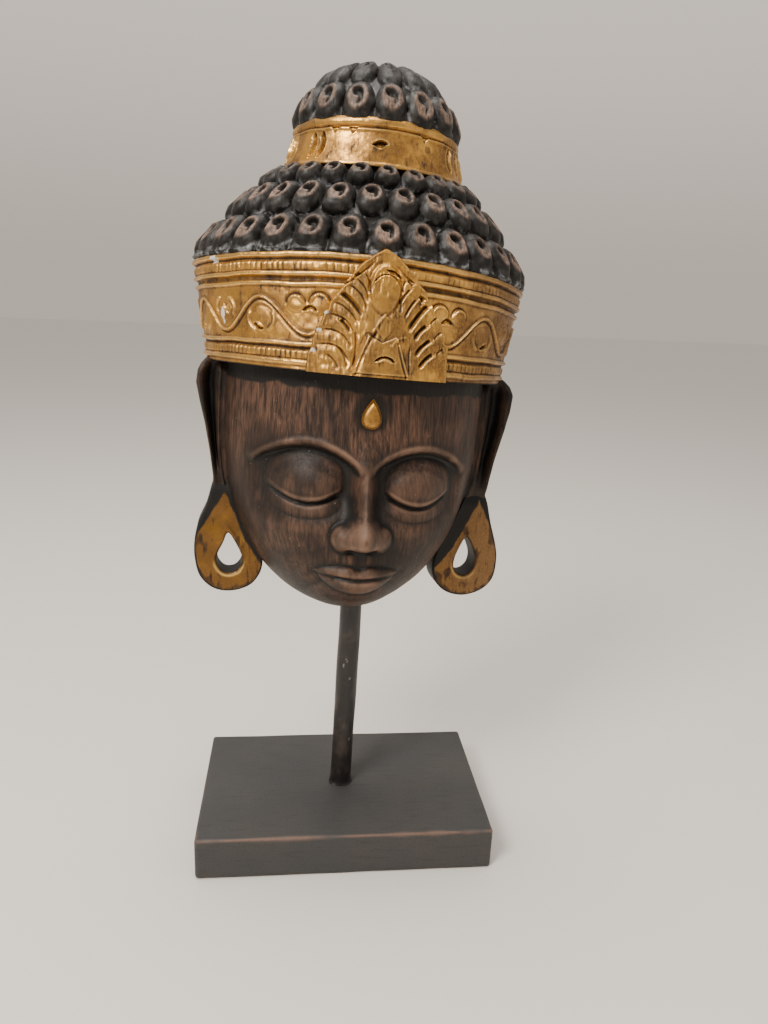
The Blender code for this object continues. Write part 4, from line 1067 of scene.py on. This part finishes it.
def curled(points, angle, height, rise, rows, seed, skirt, plan):
    """A front surface under rows of curls, with what is rubbed and dusty on it.

    The skirt fills in between the lowest curls: how full, how deep its notches, up to where, over
    what fade. Tool marks lie on a plan, as wide and tall as given in millimetres.
    """
    relief, rub, dust = curl_field(angle, height, rows, seed)
    place = (angle / math.pi + 0.5) * rows[0][0] + rows[0][1]
    full, notch, top, fade = skirt
    filled = (full - notch * bell((place - np.round(place)) / 0.10)) * smooth((top - height) / fade)
    u, v = angle * plan[0] + 0 * height, height * plan[1] + 0 * angle
    tool = plan[2] * value_noise(u, v * 0.4, 1.6, seed + 2) + 0.03 * value_noise(u, v, 4.5, seed + 3)
    foot = smooth((0.035 - height + 0.012 * value_noise(u, v, 5.0, seed + 1)) / 0.02)
    return raise_relief(points, rise * (np.maximum(relief, filled) + tool)), {"rub": rub, "dust": dust}, foot


def hair_surface():
    """The hair between the two bands: three rows of curls that shrink towards the top."""
    hair, crown = sizes("hair_sizes"), sizes("crown_sizes")
    angle = spread(476, 0.97)[None, :]
    height = np.linspace(0, 1, 172)[:, None]
    bulge = hair.bulge * 4 * height * (1 - height)
    width, depth = taper(hair, height)
    low = crown.height + crown.front_rise * np.cos(angle) ** 2
    points = half_section(angle, width + bulge, depth + bulge, low + (hair.top_z - low) * height)
    points[..., 0] += hair.shift * height
    rows = ((15, 0.0, -0.01, 0.405, 9.4, 11.0, 1.0), (14, 0.0, 0.40, 0.755, 8.8, 9.8, 0.95),
            (13, 0.0, 0.745, 0.975, 6.0, 6.6, 0.50))
    skirt, plan = (0.56, 0.34, 0.16, 0.06), (80, 66, 0.012)
    points, fields, foot = curled(points, angle, height, hair.curl_rise, rows, 41, skirt, plan)
    fields["dust"] = np.clip(fields["dust"] + 0.7 * foot, 0, 1)
    return points, fields


def topknot_surface():
    """The topknot: a dome that closes as the root of 1 minus a power of its rise, covered with curls."""
    hair = sizes("hair_sizes")
    angle = spread(300, 0.97)[None, :]
    height = np.linspace(0, 1, 150)[:-1, None]
    rise = np.sin(height * math.pi / 2)
    shrink = (1 - rise**1.9) ** 0.5
    z = hair.ring_top_z + (hair.knot_top - hair.ring_top_z) * rise
    points = half_section(angle, hair.knot_width * shrink, hair.knot_depth * shrink, z)
    points[..., 0] += hair.shift
    rows = ((8, 0.5, -0.06, 0.37, 8.2, 9.4, 1.0), (7, 0.0, 0.32, 0.86, 7.0, 9.4, 0.06),
            (3, 0.0, 0.80, 1.10, 6.0, 6.0, 0.0))
    skirt, plan = (0.55, 0.30, 0.12, 0.05), (42, 55, 0.015)
    points, fields, _ = curled(points, angle, height, hair.knot_curl_rise, rows, 51, skirt, plan)
    fields["dust"] *= 0.7
    return points, fields


def topknot_band_surface():
    """The topknot band: a ridge under its top edge, a crescent in front, upright cuts to the sides."""
    hair = sizes("hair_sizes")
    angle = spread(420, 0.96)[None, :]
    share = np.linspace(0, 1, 70)[:, None]
    width, depth = taper(hair, share, "ring_")
    points = half_section(angle, width, depth, hair.top_z + (hair.ring_top_z - hair.top_z) * share)
    points[..., 0] += hair.shift
    u, v = angle * KNOT_BAND_ARC + 0 * share, share * 24.1 + 0 * angle
    line = share + 0.010 * value_noise(u, 0 * u, 8.0, 61)
    relief = 0.9 * bell((line - 0.90) / 0.07, 4) - 0.7 * bell((line - 0.795) / 0.022)
    relief += 0.5 * bell((line - 0.74) / 0.03) + 0.7 * bell((line - 0.04) / 0.045, 4)
    relief += thumb_cut(u, v, (-4.0, 6.8), 6.2, 3.4, -8, 52, 3.8)
    for degrees in (-77, -69, -49, -42, 45, 56, 68, 79):
        side = math.copysign(1, degrees)
        middle = (math.radians(degrees) * KNOT_BAND_ARC + side * 6.4, 10.4)
        relief += thumb_cut(u, v, middle, 8.0, 3.2, -90 * side, 66, 2.6)
    for degrees in (-35, -23, 24):
        across = np.abs(u - math.radians(degrees) * KNOT_BAND_ARC)
        relief -= 1.2 * smooth((2.9 - across - (18.6 - v) * 0.8) / 0.8) * (v < 18.8)
    relief += 0.10 * value_noise(u, v, 2.0, 62) + 0.25 * value_noise(u, v, 8.0, 63)
    # low and high: the relief's hollows take brown stain and painted shade, its edges a painted highlight.
    low, high = hollows_and_edges(relief, 9, 0.5)
    knot = spot(u, v, (math.radians(26) * KNOT_BAND_ARC, 12.4), (2.3, 2.0), 64) * 0.75
    fields = {"low": np.clip(low * 1.3 - 0.1 + knot, 0, 1), "high": high, "chip": 0 * u,
              "dark": smooth((0.02 - share) / 0.015) + 0 * u}
    return raise_relief(points, relief * MM), fields


EAR_EDGE = {
    -1: ((3.0, 82.0), (1.1, 85.7), (-2.5, 88.6), (-6, 90.2), (-13.2, 90.9), (-23.9, 88.4), (-35.6, 85.2),
         (-50.4, 82.0), (-65.4, 79.4), (-72.1, 79.2), (-82, 80.5)),
    1: ((3.0, 86.0), (2.2, 89.0), (-1.7, 93.2), (-6.8, 95.0), (-16.4, 94.4), (-30.7, 91.5), (-46, 88.1),
        (-59.6, 86.1), (-66.9, 85.2), (-74.1, 85.9), (-82, 87.5)),
}
LOBE_EDGE = {
    -1: ((-75.4, -62), (-79.2, -69.5), (-82.4, -82.9), (-86.6, -93.8), (-88.2, -104.7), (-87.6, -114.5),
         (-84.7, -124.5), (-78.5, -131.2), (-70.8, -133.9), (-61.6, -133.0), (-53.5, -128.6), (-48.8, -120),
         (-49.0, -110), (-53.5, -97), (-60, -82), (-66.5, -68)),
    1: ((81.0, -62), (85.3, -69.5), (89.6, -84), (95.0, -99.6), (96.6, -109), (95.4, -120.5),
        (89.0, -128.3), (78.5, -132.3), (68.1, -131.3), (60.5, -126.6), (56.0, -119), (56.0, -109),
        (60.0, -96), (66.5, -82), (72.5, -68)),
}
LOBE_HOLE = {
    -1: ((-69.2, -98.6), (-71.8, -104.5), (-75.0, -112.4), (-74.4, -117.8), (-71.4, -121.6), (-67.8, -122.7),
         (-63.8, -121.4), (-61.0, -117.6), (-60.6, -112.6), (-64.6, -104.4)),
    1: ((75.2, -95.0), (79.4, -100.4), (82.2, -107.5), (81.9, -113.6), (79.2, -117.6), (75.6, -119.2),
        (71.6, -117.8), (69.2, -113.8), (69.4, -108.4), (71.6, -101.5)),
}
LOBE_GOLD = {
    -1: (((74.3, 72.0), (101.8, 87.7), (106.0, 110.0)), ((74.3, 72.0), (103.2, 58.8), (117.3, 48.8), (121.0, 30.0))),
    1: (((71.7, 80.7), (100.0, 96.2), (104.0, 120.0)), ((71.7, 80.7), (101.0, 67.4), (115.0, 57.4), (119.0, 40.0))),
}


def ear_surface(side):
    """The upper ear: sections from inside the head to the outer edge, a rolled rim round a groove."""
    ears = sizes("ear_sizes")
    z = np.linspace(3.0, -81.0, 170)[:, None] * MM
    outer = np.interp(-z[:, 0], *(np.array(EAR_EDGE[side]).T * [[-MM], [MM]]))[:, None]
    outer = blur(outer, 5)
    cheek = face_outline(np.minimum(z, 0))[0]
    q = np.concatenate([np.linspace(-0.55, 1, 64), np.linspace(1, -0.55, 12)[1:-1]])[None, :]
    front = (np.arange(q.shape[1]) < 64)[None, :]
    x = cheek + (outer - cheek) * q
    down = np.clip(-z / 0.066, 0, 1)
    groove = bell((q - 0.40 - 0.06 * down) / 0.21, 2.6) * smooth((1.02 - down) / 0.35) * smooth((-z + 0.001) / 0.007)
    rim = bell((q - 0.84) / 0.20, 2.6) * (1 - 0.5 * down)
    inner = bell((q - 0.06) / 0.09) * 0.8
    wobble = 0.0003 * value_noise(x, z + 0 * x, 0.007, 71)
    face_y = -(ears.back_gap + ears.thickness) + ears.groove * groove - 0.0014 * rim - 0.0008 * inner + wobble
    edge = np.clip((q - 0.86) / 0.14, 0, 1)
    face_y = face_y + 0.0065 * (1 - np.sqrt(np.clip(1 - edge**2, 0, 1)))
    back_y = -ears.back_gap - 0.004 * np.clip((q - 0.80) / 0.20, 0, 1) ** 2
    y = np.where(front, face_y, back_y)
    y = y + 0.0016 * smooth((-z - 0.063) / 0.008) * front
    lift = smooth((-z + 0.003) / 0.010)
    y = -0.011 + (y + 0.011) * (0.5 + 0.5 * lift)
    ring = np.stack([side * x, y, z + 0 * x], axis=-1)
    low = np.clip(groove * 1.1 + 0.35 + 0.3 * value_noise(x, z + 0 * x, 0.012, 72), 0, 1) * front
    # Painted highlight: two pale lines of worn-wood colour along the edges of the groove.
    high = np.clip(bell((q - 0.20) / 0.05) + bell((q - 0.66) / 0.05), 0, 1) * front * (1 - 0.5 * down)
    return ring, {"low": low + 0.8 * ~front, "high": high * 0.8, "light": 0 * low, "back": 0 * low}


def lobe_surface(side):
    """The pierced lobe: a closed section carried round the hole, from the hole's wall over the flat
    gold face to the outer wall and back, with round edges."""
    ears = sizes("ear_sizes")
    count = 176
    outer, hole = closed_curve(LOBE_EDGE[side], count) * MM, closed_curve(LOBE_HOLE[side], count) * MM
    front, back, edge = -(ears.back_gap + ears.thickness), -ears.back_gap, ears.edge
    span = np.linalg.norm(outer - hole, axis=1)[:, None]
    corner = np.linspace(0, math.pi / 2, 7)
    round_in = [(edge * (1 - math.sin(a)), front + edge * (1 - math.cos(a))) for a in corner[::-1]]
    wall = [(0.0, y) for y in np.linspace(back, front + edge, 8)[:-1]]
    inset, depth = np.array(wall + round_in).T
    flat, behind = np.linspace(0, 1, 30)[1:-1], np.array([0.8, 0.6, 0.4, 0.2])
    y = np.concatenate([depth, np.full(len(flat), front), depth[::-1], np.full(len(behind), back)])
    on_edge, low_edge = inset / span, edge / span
    on_front = low_edge + (1 - 2 * low_edge) * flat
    t = np.concatenate([on_edge, on_front, 1 - on_edge[:, ::-1], behind + 0 * span], axis=1)
    on_flat = np.repeat([0, 1, 0, 1], [len(inset), len(flat), len(inset), len(behind)])
    plan = hole[:, None, :] + (outer - hole)[:, None, :] * t[..., None]
    x, z = plan[..., 0], plan[..., 1]
    bend = (0.0004 * value_noise(x, z, 0.009, 74) - 0.0007 * smooth((0.18 - t) / 0.18)) * on_flat
    sunk = 0.0030 * smooth((z + 0.075) / 0.011) * (y < -0.010)
    ring = np.stack([x, y + bend + sunk, z], axis=-1)
    from_edge = (1 - t) * span
    on_front = smooth((front + edge * 0.9 - y + 0 * t) / (0.3 * edge))
    border = smooth((ears.border + 0.0005 * value_noise(x, z, 0.004, 75) - from_edge) / 0.0006)
    out, down = x * side / MM, -z / MM
    wide, slim = (np.interp(down, *np.array(line).T) for line in LOBE_GOLD[side])
    inside = np.minimum(wide - out, out - slim) + 0.4 * value_noise(out, down, 3.0, 77)
    dark = np.clip(1 - on_front + border + 1 - smooth(inside / 0.7 + 0.5), 0, 1)
    # Painted highlight on the lower lip of the hole.
    hole_lip_highlight = bell((t * span - edge) / 0.0007) * on_front * smooth((0.009 + hole[:, 1].min() - z) / 0.006)
    smear = value_noise(x, z * 0.22, 0.0015, 78) + 0.9 * value_noise(out, down, 7.0, 79)
    smear = smooth((smear - 0.55 + 1.1 * smooth((0.0050 - from_edge) / 0.0045)) / 0.5) * 0.75
    # Along the rest of the hole's edge the front is darkened as painted shade; the smears are brown smudges.
    low = np.clip(smear + 0.7 * smooth((0.0018 - t * span) / 0.001) * (1 - hole_lip_highlight), 0, 1) * on_front
    fields = {"dark": dark, "low": low, "high": hole_lip_highlight, "chip": 0 * dark, "back": 0 * dark}
    return ring, fields


def rod_surface():
    """The rod: circles along its leaning axis, slightly uneven, with a bead of paint at its foot."""
    stand = sizes("stand_sizes")
    low, high = stand.base_height - 0.004, stand.base_height + stand.chin_height + stand.chin_socket
    height = np.linspace(low, high, 240)[:, None]
    angle = np.linspace(0, 2 * math.pi, 57)[:-1][None, :]
    over = height - stand.base_height
    wobble = 0.00012 * np.cos(2 * angle + height * 60) + 0.00008 * np.cos(3 * angle - height * 140)
    ragged = 1 + 0.35 * np.cos(3 * angle + 1) + 0.25 * np.cos(5 * angle)
    foot = 0.0012 * np.exp(-np.clip(over, 0, None) / 0.0011) * ragged
    radius = stand.rod_width / 2 + wobble + foot
    x = stand.rod_foot + math.tan(stand.rod_lean) * height + radius * np.cos(angle)
    grid = np.stack([x, radius * np.sin(angle), height + 0 * x], axis=-1)
    turn_mm = (angle + 0 * height) * 6.75
    scratch = 0 * turn_mm
    for at, up, long, lean in ((28.5, 86.0, 5.0, 0.25), (31.0, 90.5, 3.4, -0.35), (33.2, 78.0, 2.2, 0.5),
                               (27.0, 95.0, 2.0, 0.1), (35.5, 34.0, 1.8, 0.2)):
        line = bent((at, up), (at + lean * long, up + long), 0.05, 4)
        distance, _, share = stroke(turn_mm, over / MM + 0 * angle, line)
        scratch = np.maximum(scratch, smooth((0.30 * (1.1 - share) - distance) / 0.12))
    return grid, {"scratch": scratch}


def block_surface():
    """The block: a box's grid whose edges are pushed in to a round, with dents along the front edge."""
    stand = sizes("stand_sizes")
    half = np.array([stand.base_width, stand.base_depth, stand.base_height]) / 2
    counts, verts, faces = (110, 70, 22), [], []
    ease = [np.sign(u) * (1 - (1 - np.abs(u)) ** 1.25) for u in (np.linspace(-1, 1, n + 1) for n in counts)]
    start = 0
    for axis in range(3):
        a, b = (axis + 1) % 3, (axis + 2) % 3
        for side in (-1, 1):
            u, v = np.meshgrid(ease[a], ease[b], indexing="ij")
            sheet = np.zeros((*u.shape, 3))
            sheet[..., a], sheet[..., b], sheet[..., axis] = u * half[a], v * half[b], side * half[axis]
            index = np.arange(u.size).reshape(u.shape) + start
            quads = np.stack([index[:-1, :-1], index[1:, :-1], index[1:, 1:], index[:-1, 1:]], axis=-1)
            quads = quads.reshape(-1, 4)
            faces.append(quads if side > 0 else quads[:, ::-1])
            verts.append(sheet.reshape(-1, 3))
            start += u.size
    verts = np.concatenate(verts)
    x = verts[:, 0]
    front_top = smooth((-verts[:, 1] / half[1] - 0.7) / 0.3) * smooth((verts[:, 2] / half[2] - 0.3) / 0.7)
    dent = smooth((value_noise(x, 0 * x, 0.011, 81) - 0.2) / 0.6) * front_top
    radius = (stand.base_round * (1 + 0.25 * value_noise(x + verts[:, 1], verts[:, 2], 0.02, 82)) + 0.0012 * dent)
    inner = np.clip(verts, -(half - radius[:, None]), half - radius[:, None])
    out = verts - inner
    distance = np.linalg.norm(out, axis=1)
    verts = inner + out / np.maximum(distance, 1e-9)[:, None] * np.minimum(radius, distance)[:, None]
    bevel = np.clip((distance / radius - 1.0) / 0.20, 0, 1)
    top = smooth((verts[:, 2] / half[2] - 0.55) / 0.3)
    edge = bevel * np.clip(0.35 + 0.9 * front_top * top + 0.25 * value_noise(x, verts[:, 1], 0.016, 83), 0, 1)
    edge = edge * np.where(front_top > 0.5, 1.0, 0.45)
    stain = spot(x / MM, verts[:, 1] / MM, (48, -6), (15, 9), 84) * 0.12 * (verts[:, 2] > half[2] * 0.9)
    verts[:, 2] += half[2]
    return verts, np.concatenate(faces).tolist(), {"edge": edge, "stain": stain}


def carve(name, surface, material, slot, sharp=50.0, **ends):
    """Close the rings of one of the mask's pieces, bring it to where the mask hangs, and add it."""
    ring, fields = surface
    verts, faces = ring_body(ring, **ends)
    add_piece(name, into_place(verts), faces, fields, material, slot, "mask", sharp)


class MASK_OT_face(bpy.types.Operator):
    """Carve the face and the gold drop between its brows"""

    bl_idname = "mask.face"
    bl_label = "Face"

    def execute(self, context):
        wood = stained_wood("stained carved wood")
        head = close_with_back(*inner_step(*face_surface(), True, 0.002), hidden=(-1,))
        carve("face", head, wood, "carved_wood", 60, bottom=(0, -0.0001, -sizes("face_sizes").height))
        drop = brow_drop()
        fields = dict.fromkeys(("low", "high", "chip", "dark", "back"), np.zeros(drop.shape[:2]))
        gold = gold_paint("gold paint on the drop", (0.72, 0.86))
        carve("brow_drop", (drop, fields), gold, "gold_paint", top=drop[-1].mean(axis=0))
        return {"FINISHED"}


class MASK_OT_crown(bpy.types.Operator):
    """Carve the crown band and the leaf on its front"""

    bl_idname = "mask.crown"
    bl_label = "Crown"

    def execute(self, context):
        gold = gold_paint("gold paint on the crown", (0.52, 0.70), 0.40)
        carve("crown_band", close_with_back(*crown_surface()), gold, "gold_paint")
        carve("crown_leaf", leaf_surface(), gold, "gold_paint", 70)
        return {"FINISHED"}


class MASK_OT_hair(bpy.types.Operator):
    """Carve the hair, the topknot band and the topknot"""

    bl_idname = "mask.hair"
    bl_label = "Hair and topknot"

    def execute(self, context):
        hair, black = sizes("hair_sizes"), hair_paint()
        curls = inner_step(*inner_step(*hair_surface(), True, 0.003), False, 0.003)
        carve("hair", close_with_back(*curls, 40, (0, -1)), black, "hair_paint", 75)
        gold = gold_paint("gold paint on the topknot band", (0.52, 0.70), 0.38)
        carve("topknot_band", close_with_back(*topknot_band_surface(), 24), gold, "gold_paint")
        knot = close_with_back(*inner_step(*topknot_surface(), False, 0.003), 24, (0,))
        carve("topknot", knot, black, "hair_paint", 75, top=(hair.shift, 0, hair.knot_top + 0.001))
        return {"FINISHED"}


class MASK_OT_ears(bpy.types.Operator):
    """Carve both ears and their pierced gold lobes"""

    bl_idname = "mask.ears"
    bl_label = "Ears"

    def execute(self, context):
        wood = stained_wood("stained wood of the ears")
        gold = gold_paint("gold paint on the lobes", (0.54, 0.70), 0.34, 0.46)
        for side, word in ((-1, "left"), (1, "right")):
            carve(f"{word}_ear", ear_surface(side), wood, "carved_wood", 60)
            ring, fields = lobe_surface(side)
            rows, columns = ring.shape[:2]
            faces = (np.array(ring_faces(rows + 1, columns)) % (rows * columns)).tolist()
            verts = into_place(ring.reshape(-1, 3))
            add_piece(f"{word}_lobe", verts, faces, fields, gold, "gold_paint", "mask")
        return {"FINISHED"}


class MASK_OT_stand(bpy.types.Operator):
    """Make the rod and the block"""

    bl_idname = "mask.stand"
    bl_label = "Rod and block"

    def execute(self, context):
        ring, fields = rod_surface()
        add_piece("rod_bar", *ring_body(ring), fields, rod_paint(), "rod_paint", "rod")
        block = add_piece("base_block", *block_surface(), block_paint(), "block_paint", "base", 80)
        merge_seams(block)
        return {"FINISHED"}


def merge_seams(piece):
    """Join the points of a piece that lie on each other, so that its sheets close."""
    bm = bmesh.new()
    bm.from_mesh(piece.data)
    bmesh.ops.remove_doubles(bm, verts=bm.verts[:], dist=1e-6)
    bm.to_mesh(piece.data)
    bm.free()


class MASK_OT_stage(bpy.types.Operator):
    """Set the pale floor, the soft lights and the camera"""

    bl_idname = "mask.stage"
    bl_label = "Stage"

    def execute(self, context):
        scene = context.scene
        pale = sizes("finishes").floor
        mesh = bpy.data.meshes.new("floor")
        corners = ((-1, -1), (1, -1), (1, 1), (-1, 1))
        mesh.from_pydata([(FLOOR_REACH * x, FLOOR_REACH * y, 0) for x, y in corners], [], [(0, 1, 2, 3)])
        mesh.materials.append(paint(new_material("pale floor", pale)[0], Base_Color=(*pale, 1.0), Roughness=0.75))
        floor = bpy.data.objects.new("floor", mesh)
        scene.collection.objects.link(floor)
        scene.world = soft_studio()
        for name, place, size, power in LAMPS:
            light = bpy.data.lights.new(name, "AREA")
            light.size, light.energy, light.color = size, power, (1.0, 0.95, 0.88)
            lamp = bpy.data.objects.new(name, light)
            lamp.location = place
            lamp.rotation_euler = (Vector(LAMPS_AIM) - Vector(place)).to_track_quat("-Z", "Y").to_euler()
            scene.collection.objects.link(lamp)
        scene.camera = photo_camera()
        scene.collection.objects.link(scene.camera)
        return {"FINISHED"}


FLOOR_REACH = 6.0
LAMPS_AIM = (0, 0, 0.28)
LAMPS = (
    ("key light", (-0.70, -0.75, 1.20), 0.45, 21.0),
    ("fill light", (1.20, -0.70, 0.80), 1.0, 2.5),
    ("top light", (-0.10, 0.05, 1.50), 0.7, 13.0),
)


def soft_studio():
    """The world: a greyish wall to the front, a warm one behind that grows lighter upwards, white above."""
    world = bpy.data.worlds.new("soft studio")
    world.use_nodes = True
    tree = world.node_tree
    sky = tree.nodes["Background"]
    way = add_node(tree, "ShaderNodeTexCoord", {}, "Generated")
    behind = way.axis("Z").ranged(0.0, 0.32).mixed((0.800, 0.700, 0.605), (1.16, 1.04, 0.90))
    wall = way.axis("Y").ranged(0.0, 0.75).mixed((0.60, 0.57, 0.53), behind)
    fill(tree, sky.inputs["Color"], way.axis("Z").ranged(0.30, 0.85).mixed(wall, (1.0, 0.97, 0.92)))
    sky.inputs["Strength"].default_value = 0.72
    return world


def photo_camera():
    """The camera at the photograph's place: a little left, looking down, with a slight roll."""
    data = bpy.data.cameras.new("camera")
    data.lens, data.sensor_width, data.clip_start = 27.035, 36.0, 0.01
    camera = bpy.data.objects.new("camera", data)
    yaw, pitch, roll = -0.116, 0.284, 0.042
    spin = Matrix.Rotation(yaw, 3, "Z")
    ahead = Vector((0, math.cos(pitch), -math.sin(pitch)))
    across = Vector((1, 0, 0))
    above = across.cross(ahead)
    right = spin @ (math.cos(roll) * across + math.sin(roll) * above)
    up = spin @ (-math.sin(roll) * across + math.cos(roll) * above)
    turned = Matrix((right, up, -(spin @ ahead))).transposed().to_4x4()
    camera.matrix_world = Matrix.Translation((-0.0308, -0.4423, 0.3434)) @ turned
    return camera


class MASK_PT_panel(bpy.types.Panel):
    """The sidebar panel with the sizes, the colours and the pieces"""

    bl_idname = "MASK_PT_panel"
    bl_label = "Mask on stand"
    bl_space_type = "VIEW_3D"
    bl_region_type = "UI"
    bl_category = "Mask"

    def draw(self, context):
        for operator in OPERATORS:
            self.layout.operator(operator.bl_idname)
        for name, group in GROUPS.items():
            box = self.layout.box()
            box.label(text=name.replace("_", " ").capitalize())
            for key in group.__annotations__:
                box.prop(getattr(context.scene, name), key)


GROUPS = {
    "stand_sizes": StandSizes, "face_sizes": FaceSizes, "crown_sizes": CrownSizes,
    "hair_sizes": HairSizes, "ear_sizes": EarSizes, "finishes": Finishes,
}
OPERATORS = (MASK_OT_face, MASK_OT_crown, MASK_OT_hair, MASK_OT_ears, MASK_OT_stand, MASK_OT_stage)


def register():
    """Make the groups, operators and panel known, and give the scene its sizes."""
    for part in (*GROUPS.values(), *OPERATORS, MASK_PT_panel):
        bpy.utils.register_class(part)
    for name, group in GROUPS.items():
        setattr(bpy.types.Scene, name, PointerProperty(type=group))


def unregister():
    """Take everything back that register made."""
    for name in GROUPS:
        delattr(bpy.types.Scene, name)
    for part in (MASK_PT_panel, *reversed(OPERATORS), *reversed(GROUPS.values())):
        bpy.utils.unregister_class(part)


def main():
    """Build every piece and the stage."""
    register()
    bpy.ops.mask.face()
    bpy.ops.mask.crown()
    bpy.ops.mask.hair()
    bpy.ops.mask.ears()
    bpy.ops.mask.stand()
    bpy.ops.mask.stage()
    bpy.context.view_layer.update()


if __name__ == "__main__":
    main()
